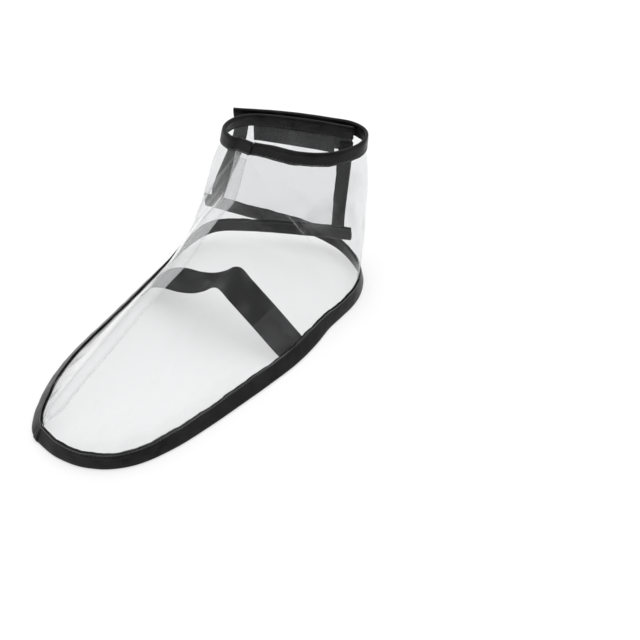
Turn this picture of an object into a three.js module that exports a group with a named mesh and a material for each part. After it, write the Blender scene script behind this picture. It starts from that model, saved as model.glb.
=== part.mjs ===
// A clear film shoe and ankle cover for a right foot, open underneath.
//
// Two panels of film are sewn together with a lap seam from the toe up to the front of the collar.
// Each panel ends in a flap behind the heel, and the two flaps lie one outside the other, held at the
// collar by a hook and a loop patch. Folded tape binds every free edge of both panels, and a slack
// elastic strap crosses the open underside. Millimetres, +Z up, toe towards -Y, inner side of the
// foot towards +X, origin on the floor under the middle of the cover.

import * as THREE from 'three';

// Driving sizes
const FILM = 1.2;             // wall of a film panel
const GAP = 0.3;              // clearance between neighbouring pieces
const TAPE_GAP = 0.4;         // clearance of a film inside its folded tape
const SEAT_GAP = 0.5;         // clearance of the strap from the curved bindings it is sewn to
const TAPE = 1.0;             // wall of the folded tape on each side of the film
const LOWER_TAPE = 11.5;      // visible width of the folded tape round the sole's edge
const UPPER_TAPE = 10;        // visible width of the tape on the flaps and the collar
const TAPE_FOLD = 2.2;        // from the fold of the tape to the edge of the film
const TAPED = 12.5;           // width of the film that its tape keeps straight
const LOWER_OVERRUN = 8;      // how far the lower tapes run on past the end of a flap
const COLLAR_OVERRUN = 2;     // the same for the collar tapes
const LAP_TAPE_END = 1.9;     // where the outer collar tape ends on the lap, from 1 to 2 across it
const COLLAR_JOIN = 0.03;     // rows from the seam to the start of the second collar tape
const LAP = 10.5;             // width of the lap seam
const LAP_START = 0.5;        // row where the lap begins, just above the toe binding
const LAP_FULL = 1.5;         // row from which the lap has its full width
const TOE_SQUARE = 0.01;      // rows up to here face straight forward
const TOE_GAP = 0.2;          // half the gap between the two panels at the toe
const PATCH = 1.2;            // thickness of a hook or loop patch
const PATCH_HEIGHT = 14;
const PATCH_BELOW = 8.8;      // from the film's upper edge down to the patch
const HOOK_ROWS = [20, 20.5, 21, 21.5, 22, 22.5, 23];        // medial flap rows under the hook patch
const LOOP_ROWS = [18, 18.5, 19, 19.5, 20, 20.5, 21, 21.4];  // lateral flap rows under the loop patch
const STRAP = 1.5;            // thickness of the strap
const STRAP_WIDTH = 28;
const STRAP_Y = 21;           // middle of the strap
const STRAP_SEWN = [5, 10];   // places of the sewn ends, up the inner face of each binding

// Middle of the finished cover in the frame of the tables below; the pieces are moved by it at the end
const MIDDLE = { x: -3.14, y: -2.15 };

// Mesh steps
const STEPS_PER_ROW = 2;
const RIB_STEPS = 9;
const LAP_STEPS = 2;
const STRAP_STEPS = 52;

// The rib of film in each row is straight where tape binds it and a Bezier arc between. Reach is the
// share of its length by which it carries on in the direction of the lower tape, and drop and outward
// are the shares of its rise and of its run in plan with which it comes up to its top. Over the foot
// the film bulges and flattens towards the ridge, and round the ankle it is nearly straight.
const MEDIAL_OVER_FOOT = { reach: 0.28, drop: 0.16, outward: 0.38 };
const LATERAL_OVER_FOOT = { reach: 0.28, drop: 0.3, outward: 0.15 };
const ROUND_ANKLE = { reach: 0.22, drop: 0.24, outward: 0.16 };

// Degrees by which the film leans in further than its lower tape, over the foot
const MEDIAL_TURN = 0;
const LATERAL_TURN = 30;

// How far each panel swells round the ankle, from its first to its last row and most at its peak, and
// the level direction in which it does
const MEDIAL_FULLNESS = { amount: 7.5, first: 13, peak: 17, last: 20.5, toward: [0.83, 0.56, 0] };
const LATERAL_FULLNESS = { amount: 6.5, first: 11, peak: 14, last: 17, toward: [-0.83, -0.56, 0] };

// Ridge of the lap seam, from the toe over the instep to the front of the collar, a row for each rib
const RIDGE = [
  { x: -31.0, y: -139.2, z: 10.9, ankle: 0 },
  { x: -30.0, y: -129.0, z: 15.5, ankle: 0 },
  { x: -29.0, y: -116.0, z: 21.2, ankle: 0 },
  { x: -28.0, y: -100.0, z: 27.5, ankle: 0 },
  { x: -27.0, y: -83.0, z: 33.0, ankle: 0 },
  { x: -25.5, y: -62.0, z: 40.5, ankle: 0 },
  { x: -24.5, y: -42.0, z: 47.0, ankle: 0 },
  { x: -23.0, y: -18.0, z: 54.5, ankle: 0 },
  { x: -21.5, y: 4.0, z: 60.5, ankle: 0 },
  { x: -23.5, y: 26.0, z: 67.0, ankle: 0.15 },
  { x: -25.5, y: 47.0, z: 71.5, ankle: 0.35 },
  { x: -24.5, y: 65.0, z: 76.5, ankle: 0.6 },
  { x: -23.0, y: 72.6, z: 91.0, ankle: 0.75 },
  { x: -21.5, y: 78.3, z: 107, ankle: 0.9 },
  { x: -19.0, y: 82.0, z: 118.8, ankle: 1 },
];
const NECK_ROW = RIDGE.length - 2;  // row where the seam passes under the collar tape
const FLATTEN = 0.8;                // share by which the ribs turn into the plane of the lap

// Lower edge of each panel, a row for each rib, from the toe to the end of the flap. Lean is the slope
// of the film in its tape, in degrees from the floor.
const MEDIAL_FOOT = [
  { x: -31, y: -146, z: 0, lean: 58 }, { x: -13, y: -148.8, z: 0, lean: 70 },
  { x: 7, y: -146.3, z: 0, lean: 76 }, { x: 24.5, y: -137.5, z: 0, lean: 77 },
  { x: 38, y: -123, z: 0, lean: 74 }, { x: 49, y: -98.5, z: 0, lean: 66 },
  { x: 56, y: -71.5, z: 0, lean: 58 }, { x: 62, y: -41, z: 0, lean: 52 },
  { x: 67.2, y: -12, z: 0, lean: 46 }, { x: 70.8, y: 15, z: 0, lean: 45 },
  { x: 70.6, y: 40, z: 0, lean: 54 }, { x: 68.6, y: 58, z: 0, lean: 69 },
  { x: 68.8, y: 72, z: 0, lean: 76 }, { x: 69.2, y: 84, z: 0, lean: 78 },
  { x: 68.3, y: 96, z: 0, lean: 80 }, { x: 65.3, y: 106.5, z: 0, lean: 82 },
  { x: 60.5, y: 116.5, z: 0, lean: 80 }, { x: 53, y: 125.5, z: 0, lean: 82 },
  { x: 41.5, y: 133, z: 0.3, lean: 83 }, { x: 28, y: 138, z: 2, lean: 84 },
  { x: 12, y: 139, z: 4.5, lean: 85 }, { x: -5, y: 135.3, z: 8.3, lean: 85 },
  { x: -25, y: 126.5, z: 13.8, lean: 84 }, { x: -46, y: 114.2, z: 20, lean: 84 },
  { x: -68, y: 101.5, z: 27.5, lean: 84 },
];
const LATERAL_FOOT = [
  { x: -31, y: -146, z: 0, lean: 58 }, { x: -39.5, y: -141.6, z: 0, lean: 60 },
  { x: -47.5, y: -132.2, z: 0, lean: 61 }, { x: -55.3, y: -118, z: 0, lean: 62 },
  { x: -62.8, y: -99.5, z: 0, lean: 62 }, { x: -68.2, y: -77, z: 0, lean: 62 },
  { x: -70.9, y: -54, z: 0, lean: 62 }, { x: -72.4, y: -28, z: 0, lean: 62 },
  { x: -74.2, y: -3, z: 0, lean: 62 }, { x: -76, y: 20, z: 0, lean: 62 },
  { x: -77.4, y: 42, z: 0, lean: 63 }, { x: -77.8, y: 57.5, z: 0.5, lean: 66 },
  { x: -77.2, y: 69, z: 2, lean: 70 }, { x: -75.5, y: 79, z: 3.5, lean: 74 },
  { x: -72.8, y: 87.5, z: 5, lean: 78 }, { x: -68.5, y: 94.5, z: 6.5, lean: 80 },
  { x: -61.5, y: 100.5, z: 8, lean: 82 }, { x: -51, y: 105.5, z: 9.5, lean: 84 },
  { x: -35, y: 110.5, z: 12.5, lean: 85 }, { x: -14, y: 115, z: 17, lean: 86 },
  { x: 8, y: 118.5, z: 22, lean: 87 }, { x: 23, y: 120.5, z: 26, lean: 87 },
  { x: 38, y: 122, z: 29.5, lean: 87 },
];

// Upper edge of each panel behind the seam, a row for each rib. Lean is how far the film stands out
// from this edge at the lower side of the collar tape.
const COLLAR_EDGE = 118.8;    // height of the film's upper edge, under the fold of the tape
const MEDIAL_COLLAR = [
  { x: 1, y: 86.5, lean: 3.6 }, { x: 20, y: 90.5, lean: 3.4 }, { x: 37, y: 100, lean: 3 },
  { x: 47.5, y: 114, lean: 2 }, { x: 51, y: 129, lean: 0.6 }, { x: 45.5, y: 140.5, lean: -0.4 },
  { x: 33, y: 144.5, lean: -0.8 }, { x: 14, y: 139.5, lean: -0.5 }, { x: -8, y: 131.8, lean: 0 },
  { x: -29, y: 122.5, lean: 0.5 }, { x: -50, y: 111.5, lean: 1.2 },
];
const LATERAL_COLLAR = [
  { x: -31, y: 80, lean: 3.6 }, { x: -41, y: 84.5, lean: 3.4 }, { x: -44.5, y: 93, lean: 3 },
  { x: -42.5, y: 103.5, lean: 2.2 }, { x: -35, y: 112, lean: 1 }, { x: -22, y: 119, lean: 0 },
  { x: -5, y: 126, lean: -0.6 }, { x: 14, y: 132.8, lean: -0.9 }, { x: 34, y: 138.5, lean: -1 },
];

// Middle line of the slack strap between the two bindings, from the medial side
const STRAP_ARCH = [
  { x: 52.5, z: 13 }, { x: 34.5, z: 27 }, { x: 17.5, z: 39.5 }, { x: 8, z: 46.5 },
  { x: 2.5, z: 45 }, { x: -5.5, z: 38 }, { x: -16.5, z: 30.5 }, { x: -30.5, z: 25 },
  { x: -44.5, z: 22 }, { x: -57.5, z: 16 },
];

const MATERIALS = {
  film: { color: 0xe9edee, roughness: 0.08, metalness: 0, transparent: true, opacity: 0.35 },
  tape: { color: 0x15161a, roughness: 0.35, metalness: 0 },
  strap: { color: 0x1d1e20, roughness: 0.85, metalness: 0 },
  patch: { color: 0x303236, roughness: 0.95, metalness: 0 },
};

const vector = (point) => new THREE.Vector3(point.x, point.y, point.z);
const last = (list) => list[list.length - 1];

// A column of a table read at a row number, straight between rows and level past the last one
function readColumn(column, row) {
  const low = Math.min(Math.floor(row), column.length - 1);
  const high = Math.min(low + 1, column.length - 1);
  return THREE.MathUtils.lerp(column[low], column[high], row - Math.floor(row));
}

// A smooth curve through points that is read by row number. The last stretch can be straight, as the
// end of a flap is.
function rowCurve(points, straightEnd = false) {
  const curve = new THREE.CatmullRomCurve3(points, false, 'centripetal');
  const rows = points.length - 1;
  return (row) => {
    if (straightEnd && row > rows - 1) {
      return points[rows - 1].clone().lerp(points[rows], Math.min(row - rows + 1, 1));
    }
    return curve.getPoint(THREE.MathUtils.clamp(row / rows, 0, 1));
  };
}

const ridgeAt = rowCurve(RIDGE.map(vector));
const ANKLE_SHARES = RIDGE.map((point) => point.ankle);

// Direction across the cover's top at a ridge row, square to the ridge and pointing out of the film
function ridgeNormal(row) {
  const step = 0.05;
  const along = ridgeAt(row + step).sub(ridgeAt(row - step));
  return new THREE.Vector3(1, 0, 0).cross(along).normalize();
}

// Shares of the lap's full width and of its lift at a ridge row: the lift is whole where the lap begins
const lapShare = (row) => THREE.MathUtils.smoothstep(row, 0, LAP_FULL);
const liftShare = (row) => THREE.MathUtils.smoothstep(row, 0, LAP_START);

// A line of the lap seam: side is 1 on the medial and -1 on the lateral side of the ridge, and layer
// is 1 for the film that lies outside and -1 for the film that it covers
function lapLine(row, side, layer) {
  const point = ridgeAt(row);
  point.x += side * THREE.MathUtils.lerp(TOE_GAP, LAP / 2, lapShare(row));
  return point.addScaledVector(ridgeNormal(row), layer * liftShare(row) * (FILM + GAP) / 2);
}

// One film panel: its surface by row (toe to flap) and height (0 at the floor, 1 at the top edge)
class Panel {
  constructor(side, layer, foot, collar, overFoot, turn, fullness) {
    this.side = side;
    this.layer = layer;
    this.overFoot = overFoot;
    this.turn = turn;
    this.fullness = fullness;
    this.lastRow = foot.length - 1;
    const ring = collar.map((point) => new THREE.Vector3(point.x, point.y, COLLAR_EDGE));
    const toeFoot = vector(foot[0]);
    toeFoot.x += side * TOE_GAP;
    this.lean = [0, ...collar.map((point) => point.lean)];
    this.footLine = rowCurve([toeFoot, ...foot.slice(1).map(vector)], true);
    this.footLean = foot.map((point) => point.lean);
    this.ring = rowCurve([lapLine(NECK_ROW + 1, side, layer), ...ring], true);
  }

  // Lower edge of the panel, nowhere below the floor
  foot(row) {
    const point = this.footLine(row);
    return point.setZ(Math.max(point.z, 0));
  }

  // Where the film leaves the collar tape: below the ring's edge and out by the lean
  neck(row) {
    const place = row - NECK_ROW;
    const seam = lapLine(NECK_ROW, this.side, this.layer);
    if (place <= 0) return seam;
    const step = 0.05;
    const along = this.ring(place + step).sub(this.ring(place - step)).normalize();
    const out = along.cross(new THREE.Vector3(0, 0, this.side));
    const neck = this.ring(place).addScaledVector(out, readColumn(this.lean, place));
    neck.z = RIDGE[NECK_ROW].z;
    return place < 1 ? seam.lerp(neck, place) : neck;
  }

  // Direction up the film inside the lower tape, square to the edge, leant in further by some degrees
  rising(row, turned = 0) {
    const step = 0.05;
    const along = row < TOE_SQUARE
      ? new THREE.Vector3(this.side, 0, 0)
      : this.foot(row + step).sub(this.foot(row - step)).setZ(0).normalize();
    const inward = along.cross(new THREE.Vector3(0, 0, -this.side));
    const lean = THREE.MathUtils.degToRad(readColumn(this.footLean, row) - turned);
    return inward.multiplyScalar(Math.cos(lean)).setZ(Math.sin(lean));
  }

  // How far the middle of a rib is moved outwards
  swelling(row) {
    const { amount, first, peak, last, toward } = this.fullness;
    const rise = THREE.MathUtils.smoothstep(row, first, peak);
    const fall = 1 - THREE.MathUtils.smoothstep(row, peak, last);
    return new THREE.Vector3(...toward).multiplyScalar(amount * rise * fall);
  }

  // Direction and size of the handle with which a rib reaches the seam or the collar tape
  arrival(row, run, rise, shape) {
    const beside = rise.clone().multiplyScalar(shape('drop')).addScaledVector(run, shape('outward'));
    const normal = ridgeNormal(Math.min(row, NECK_ROW));
    beside.addScaledVector(normal, -FLATTEN * beside.dot(normal));
    if (row <= NECK_ROW) return beside;
    const below = this.ring(row - NECK_ROW).sub(this.neck(row)).setLength(shape('drop') * rise.length());
    return row < NECK_ROW + 1 ? beside.lerp(below, row - NECK_ROW) : below;
  }

  rib(row) {
    const foot = this.foot(row);
    const top = row <= NECK_ROW ? lapLine(row, this.side, this.layer) : this.neck(row);
    const share = readColumn(ANKLE_SHARES, row);
    const shape = (name) => THREE.MathUtils.lerp(this.overFoot[name], ROUND_ANKLE[name], share);
    const run = new THREE.Vector3(top.x - foot.x, top.y - foot.y, 0);
    const rise = new THREE.Vector3(0, 0, top.z - foot.z);
    const leaving = this.rising(row);
    const shoulder = foot.clone().addScaledVector(leaving, TAPED);
    const swelling = this.swelling(row).multiplyScalar(4 / 3);
    const turned = this.turn * lapShare(row) * (1 - share);
    const lower = shoulder.clone().add(swelling)
      .addScaledVector(this.rising(row, turned), shape('reach') * top.distanceTo(shoulder));
    const upper = top.clone().sub(this.arrival(row, run, rise, shape)).add(swelling);
    const rib = new THREE.CurvePath();
    rib.add(new THREE.LineCurve3(foot, shoulder));
    rib.add(new THREE.CubicBezierCurve3(shoulder, lower, upper, top));
    if (row >= NECK_ROW) rib.add(new THREE.LineCurve3(top, this.ring(row - NECK_ROW)));
    return rib;
  }

  // Middle of the film. A height above 1 is on the lap, which reaches across the ridge at 2.
  point(row, height) {
    if (height <= 1) {
      const limitedRow = THREE.MathUtils.clamp(row, 0, this.lastRow);
      return this.rib(limitedRow).getPoint(Math.max(height, 0));
    }
    const limitedRow = THREE.MathUtils.clamp(row, 0, NECK_ROW + 1);
    const near = lapLine(limitedRow, this.side, this.layer);
    const far = lapLine(limitedRow, -this.side, this.layer);
    return near.lerp(far, (height - 1) * this.lapReach());
  }

  // The covered edge stops a little short of the fold above it
  lapReach() {
    return this.layer > 0 ? 1 : 1 - 2 * GAP / LAP;
  }

  // Tangent up the rib, tangent along the panel, and the normal that points out of the cover. At the
  // toe both panels face straight forward, so that they meet square.
  frame(row, height) {
    const step = 0.02;
    const onLap = height > 1;
    const before = !onLap && row >= NECK_ROW ? Math.max(row - step, NECK_ROW) : row - step;
    const after = !onLap && row < NECK_ROW ? Math.min(row + step, NECK_ROW - step / 10) : row + step;
    const up = this.point(row, Math.min(height + step, onLap ? 2 : 1))
      .sub(this.point(row, Math.max(height - step, onLap ? 1 + step / 10 : 0))).normalize();
    const along = row < TOE_SQUARE
      ? new THREE.Vector3(this.side, 0, 0)
      : this.point(after, height).sub(this.point(before, height)).normalize();
    const normal = along.clone().cross(up).normalize().multiplyScalar(this.side);
    return { up, along, normal };
  }

  // Places up the rib of a row: the edge inside its tape, the tape's far side, and steps to the seam
  // or to the lower side of the collar tape
  heights(row) {
    const length = this.rib(row).getLength();
    const neck = row >= NECK_ROW ? this.neck(row).distanceTo(this.ring(row - NECK_ROW)) : 0;
    return [TAPE_FOLD / length, ...steps(TAPED / length, 1 - neck / length, RIB_STEPS)];
  }

  // Row where the lower edge passes a given y on the cover's side
  rowAtY(y) {
    let low = 2;
    let high = NECK_ROW;
    for (let pass = 0; pass < 24; pass += 1) {
      const middle = (low + high) / 2;
      if (this.foot(middle).y < y) low = middle; else high = middle;
    }
    return (low + high) / 2;
  }
}

const medial = new Panel(
  1, -1, MEDIAL_FOOT, MEDIAL_COLLAR, MEDIAL_OVER_FOOT, MEDIAL_TURN, MEDIAL_FULLNESS,
);
const lateral = new Panel(
  -1, 1, LATERAL_FOOT, LATERAL_COLLAR, LATERAL_OVER_FOOT, LATERAL_TURN, LATERAL_FULLNESS,
);

// Closed body around an open sheet: every point moves half the thickness each way along its normal,
// and each edge that only one triangle uses gets a wall
function thicken(points, normals, triangles, thickness) {
  const count = points.length;
  const positions = [];
  for (const side of [0.5, -0.5]) {
    points.forEach((point, i) => {
      const moved = point.clone().addScaledVector(normals[i], side * thickness);
      positions.push(moved.x, moved.y, moved.z);
    });
  }
  const index = [];
  const edges = new Map();
  for (const [a, b, c] of triangles) {
    index.push(a, b, c, a + count, c + count, b + count);
    for (const [from, to] of [[a, b], [b, c], [c, a]]) {
      const back = `${to},${from}`;
      if (edges.has(back)) edges.delete(back); else edges.set(`${from},${to}`, [from, to]);
    }
  }
  for (const [from, to] of edges.values()) {
    index.push(to, from, from + count, to, from + count, to + count);
  }
  const geometry = new THREE.BufferGeometry();
  geometry.setAttribute('position', new THREE.Float32BufferAttribute(positions, 3));
  geometry.setIndex(index);
  return geometry;
}

// Two triangles for each cell of a grid of point numbers, wound so that they face along the normals
function gridTriangles(grid, side) {
  const triangles = [];
  for (let i = 0; i + 1 < grid.length; i += 1) {
    for (let j = 0; j + 1 < grid[i].length; j += 1) {
      const [a, b, c, d] = [grid[i][j], grid[i + 1][j], grid[i + 1][j + 1], grid[i][j + 1]];
      if (side > 0) triangles.push([a, b, c], [a, c, d]);
      else triangles.push([a, c, b], [a, d, c]);
    }
  }
  return triangles;
}

function steps(from, to, count) {
  return Array.from({ length: count + 1 }, (_, i) => from + (to - from) * i / count);
}

// Film panel: the main sheet from the lower tape to the seam, the stretch inside the collar tape, and
// the lap along the ridge, which only the outer layer carries on up to the collar
function filmPanel(panel) {
  const points = [];
  const normals = [];
  const add = (row, height) => {
    points.push(panel.point(row, height));
    normals.push(panel.frame(row, height).normal);
    return points.length - 1;
  };
  const rows = steps(0, panel.lastRow, panel.lastRow * STEPS_PER_ROW);
  const main = rows.map((row) => panel.heights(row).map((height) => add(row, height)));
  const firstCollar = rows.indexOf(NECK_ROW);
  const collar = rows.slice(firstCollar).map((row, i) => [last(main[firstCollar + i]), add(row, 1)]);
  const across = (row) => steps(1, 2, LAP_STEPS).slice(1).map((height) => add(row, height));
  const lap = rows
    .filter((row) => row >= LAP_START && row <= NECK_ROW)
    .map((row) => [last(main[rows.indexOf(row)]), ...across(row)]);
  if (panel.layer > 0) lap.push([last(collar[0]), ...across(NECK_ROW + 1)]);
  const triangles = [main, collar, lap].flatMap((grid) => gridTriangles(grid, panel.side));
  return thicken(points, normals, triangles, FILM);
}

// Folded tape: a U section carried along stations, each with the fold's place, the direction into the
// film and the film's normal. A level fold keeps its underside flat. The walls beside the film are cut
// into triangles the same way as the film, so that the gap stays even where the tape twists.
function foldedTape(stations, width, levelFold = false) {
  const slot = FILM / 2 + TAPE_GAP;
  const half = slot + TAPE;
  const section = [
    [-half, 0], [half, 0], [half, width], [slot, width],
    [slot, TAPE_FOLD - GAP], [-slot, TAPE_FOLD - GAP], [-slot, width], [-half, width],
  ];
  const positions = [];
  for (const { place, inward, normal } of stations) {
    for (const [across, depth] of section) {
      const slide = levelFold && depth === 0 ? -across * normal.z / inward.z : 0;
      const point = place.clone().addScaledVector(normal, across).addScaledVector(inward, depth + slide);
      positions.push(point.x, point.y, point.z);
    }
  }
  const size = section.length;
  const index = [];
  for (let i = 0; i + 1 < stations.length; i += 1) {
    for (let j = 0; j < size; j += 1) {
      const next = (j + 1) % size;
      const [a, b] = [i * size + j, i * size + next];
      const falling = section[j][1] > section[next][1];
      if (falling) index.push(a, b, a + size, b, b + size, a + size);
      else index.push(a, b, b + size, a, b + size, a + size);
    }
  }
  const capTriangles = [[0, 1, 4], [0, 4, 5], [1, 2, 3], [1, 3, 4], [0, 5, 6], [0, 6, 7]];
  const end = (stations.length - 1) * size;
  for (const [a, b, c] of capTriangles) {
    index.push(a, c, b, end + a, end + b, end + c);
  }
  const geometry = new THREE.BufferGeometry();
  geometry.setAttribute('position', new THREE.Float32BufferAttribute(positions, 3));
  geometry.setIndex(index);
  return outward(geometry);
}

// Turns every triangle round where a closed geometry has its faces pointing in
function outward(geometry) {
  const position = geometry.getAttribute('position');
  const index = geometry.getIndex().array;
  const [a, b, c] = [new THREE.Vector3(), new THREE.Vector3(), new THREE.Vector3()];
  let volume = 0;
  for (let i = 0; i < index.length; i += 3) {
    a.fromBufferAttribute(position, index[i]);
    b.fromBufferAttribute(position, index[i + 1]);
    c.fromBufferAttribute(position, index[i + 2]);
    volume += a.dot(b.cross(c)) / 6;
  }
  if (volume < 0) {
    for (let i = 0; i < index.length; i += 3) {
      [index[i + 1], index[i + 2]] = [index[i + 2], index[i + 1]];
    }
  }
  return geometry;
}

// A station of tape at the panel's lower edge, at its collar or lap, and at the edge of its flap. The
// lower edge is read at the fold, and the others at the film's edge inside it.
const footStation = (panel, row) => {
  const { up, along } = panel.frame(row, 0);
  const level = along.clone().setZ(0).normalize();
  const normal = level.cross(up).normalize().multiplyScalar(panel.side);
  return { place: panel.point(row, 0), inward: up, normal };
};
const topStation = (panel, row) => {
  const { up, normal } = panel.frame(row, 1);
  const inward = up.negate();
  return { place: panel.point(row, 1).addScaledVector(inward, -TAPE_FOLD), inward, normal };
};
const lapStation = (panel, height) => {
  const { along, normal } = panel.frame(NECK_ROW + 1, height);
  const inward = along.negate();
  return { place: panel.point(NECK_ROW + 1, height).addScaledVector(inward, -TAPE_FOLD), inward, normal };
};
const flapStation = (panel, height) => {
  const { along, normal } = panel.frame(panel.lastRow - 0.05, height);
  const inward = along.negate();
  return { place: panel.point(panel.lastRow, height).addScaledVector(inward, -TAPE_FOLD), inward, normal };
};

// Carries a row of stations straight on past its last one
function runOn(stations, distance) {
  const end = last(stations);
  const before = stations[stations.length - 2];
  const onward = end.place.clone().sub(before.place).normalize();
  return [...stations, { ...end, place: end.place.clone().addScaledVector(onward, distance) }];
}

function bottomBinding(panel) {
  const rows = steps(0, panel.lastRow, panel.lastRow * STEPS_PER_ROW);
  return foldedTape(runOn(rows.map((row) => footStation(panel, row)), LOWER_OVERRUN), LOWER_TAPE, true);
}

// The collar tape of the outer layer starts on the lap's far edge, and the other one beside its end
function collarBinding(panel) {
  const outer = panel.layer > 0;
  const rows = steps(NECK_ROW, panel.lastRow, (panel.lastRow - NECK_ROW) * STEPS_PER_ROW);
  const ring = rows.slice(outer ? 0 : 1).map((row) => topStation(panel, row));
  const start = outer ? lapStation(panel, LAP_TAPE_END) : topStation(panel, NECK_ROW + COLLAR_JOIN);
  return foldedTape(runOn([start, ...ring], COLLAR_OVERRUN), UPPER_TAPE);
}

// The tape on the flap's upright edge stands between the lower and the collar tape
function flapBinding(panel) {
  const heights = panel.heights(panel.lastRow).slice(1);
  return foldedTape(heights.map((height) => flapStation(panel, height)), UPPER_TAPE);
}

// A patch of hook or loop tape lying on one face of a flap just below the collar tape
function closurePatch(panel, rows, face) {
  const offset = face * (FILM / 2 + GAP + PATCH / 2);
  const points = [];
  const normals = [];
  const grid = rows.map((row) => {
    const length = panel.rib(row).getLength();
    const top = length - PATCH_BELOW;
    return steps(top - PATCH_HEIGHT, top, 2).map((distance) => {
      const height = distance / length;
      const { normal } = panel.frame(row, height);
      points.push(panel.point(row, height).addScaledVector(normal, offset));
      normals.push(normal);
      return points.length - 1;
    });
  });
  return thicken(points, normals, gridTriangles(grid, panel.side), PATCH);
}

// A place on the inner face of a lower binding where the strap is sewn on
function strapSeat(panel, y, distance) {
  const row = panel.rowAtY(y);
  const { place, inward, normal } = footStation(panel, row);
  const depth = FILM / 2 + TAPE_GAP + TAPE + SEAT_GAP + STRAP / 2;
  return place.addScaledVector(inward, distance).addScaledVector(normal, -depth);
}

// The strap: both ends run down the inner faces of the bindings, and the middle stands up in an arch
function instepStrap() {
  const points = [];
  const normals = [];
  const grid = steps(-0.5, 0.5, 2).map((across) => {
    const y = STRAP_Y + across * STRAP_WIDTH;
    const ends = (panel, distances) => distances.map((distance) => strapSeat(panel, y, distance));
    const arch = STRAP_ARCH.map((point) => new THREE.Vector3(point.x, y, point.z));
    const line = new THREE.CatmullRomCurve3(
      [...ends(medial, STRAP_SEWN), ...arch, ...ends(lateral, STRAP_SEWN.toReversed())], false, 'centripetal');
    return steps(0, 1, STRAP_STEPS).map((t) => {
      const along = line.getTangent(t);
      points.push(line.getPoint(t));
      normals.push(along.cross(new THREE.Vector3(0, 1, 0)).normalize());
      return points.length - 1;
    });
  });
  return outward(thicken(points, normals, gridTriangles(grid, 1), STRAP));
}

function named(name, material, geometry) {
  geometry.translate(-MIDDLE.x, -MIDDLE.y, 0);
  geometry.computeVertexNormals();
  const mesh = new THREE.Mesh(geometry, new THREE.MeshStandardMaterial(MATERIALS[material]));
  mesh.name = name;
  return mesh;
}

const shoeCover = new THREE.Group();
shoeCover.add(
  named('medial_panel', 'film', filmPanel(medial)),
  named('lateral_panel', 'film', filmPanel(lateral)),
  named('medial_bottom_binding', 'tape', bottomBinding(medial)),
  named('lateral_bottom_binding', 'tape', bottomBinding(lateral)),
  named('medial_collar_binding', 'tape', collarBinding(medial)),
  named('lateral_collar_binding', 'tape', collarBinding(lateral)),
  named('medial_flap_binding', 'tape', flapBinding(medial)),
  named('lateral_flap_binding', 'tape', flapBinding(lateral)),
  named('hook_patch', 'patch', closurePatch(medial, HOOK_ROWS, -1)),
  named('loop_patch', 'patch', closurePatch(lateral, LOOP_ROWS, 1)),
  named('instep_strap', 'strap', instepStrap()),
);

export default shoeCover;
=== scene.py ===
"""Dresses a clear film shoe and ankle cover for a right foot.

Two film panels meet in a lap seam, folded tape binds their edges, a hook and a loop patch close the
flaps behind the ankle, and an elastic strap crosses the open underside. Shapes are worked out in
millimetres in the frame of the tables below and go into their meshes in metres, in the row's frame.
"""

from __future__ import annotations

import logging
from dataclasses import dataclass, field
from enum import Enum
from typing import NamedTuple

import bpy
import numpy as np
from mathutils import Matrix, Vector


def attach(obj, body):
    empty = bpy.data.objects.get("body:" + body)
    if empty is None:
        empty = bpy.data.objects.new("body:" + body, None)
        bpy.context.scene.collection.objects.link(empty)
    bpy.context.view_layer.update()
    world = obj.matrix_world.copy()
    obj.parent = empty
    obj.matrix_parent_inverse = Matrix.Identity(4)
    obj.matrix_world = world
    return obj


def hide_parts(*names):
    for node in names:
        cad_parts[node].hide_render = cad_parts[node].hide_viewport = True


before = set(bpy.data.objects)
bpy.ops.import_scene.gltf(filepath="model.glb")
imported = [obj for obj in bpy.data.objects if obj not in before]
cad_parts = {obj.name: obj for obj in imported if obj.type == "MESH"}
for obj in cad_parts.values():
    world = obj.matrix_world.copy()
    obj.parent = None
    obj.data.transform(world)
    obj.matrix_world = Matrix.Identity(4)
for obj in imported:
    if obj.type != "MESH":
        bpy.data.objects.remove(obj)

Array = np.ndarray
log = logging.getLogger("shoe_cover")

MM = 0.001
MIDDLE = np.array((-3.14, -2.15, 0.0))  # middle of the finished cover in the tables' frame
UP = np.array((0.0, 0.0, 1.0))

# Driving sizes of the panels, as in the solids
TAPE_FOLD = 2.2
TAPED = 12.5
LAP = 10.5
LAP_START = 0.5
LAP_FULL = 1.5
TOE_SQUARE = 0.5
TOE_GAP = 0.2
COLLAR_EDGE = 118.8
FLATTEN = 0.8
ROW_STEP = 0.05
RIB_SAMPLES = 72

# Real thicknesses, thinner than the walls of the solids, and the stitches' pitch
FILM_WALL = 0.5
LAYER_STEP = 0.8
STITCH_PITCH = 3.0
WELD_DECIMALS = 3
TURN = 6.2832


class RidgeRow(NamedTuple):
    """A point of the lap seam's ridge and its share of the ankle's rib shape."""

    x: float
    y: float
    z: float
    ankle: float


class FootRow(NamedTuple):
    """A point of a panel's lower edge and the slope of the film there, in degrees from the floor."""

    x: float
    y: float
    z: float
    lean: float


class CollarRow(NamedTuple):
    """A point of a panel's upper edge and how far the film stands out below it."""

    x: float
    y: float
    lean: float


class ArchRow(NamedTuple):
    """A point of the strap's middle line."""

    x: float
    z: float


class RibShape(NamedTuple):
    """Shares that shape a rib of film between its tape and its top."""

    reach: float
    drop: float
    outward: float


class Fullness(NamedTuple):
    """How far a panel swells round the ankle, over which rows, and in which level direction."""

    amount: float
    first: float
    peak: float
    last: float
    toward: tuple[float, float, float]


MEDIAL_OVER_FOOT = RibShape(reach=0.28, drop=0.16, outward=0.38)
LATERAL_OVER_FOOT = RibShape(reach=0.28, drop=0.3, outward=0.15)
ROUND_ANKLE = RibShape(reach=0.22, drop=0.24, outward=0.16)

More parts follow.
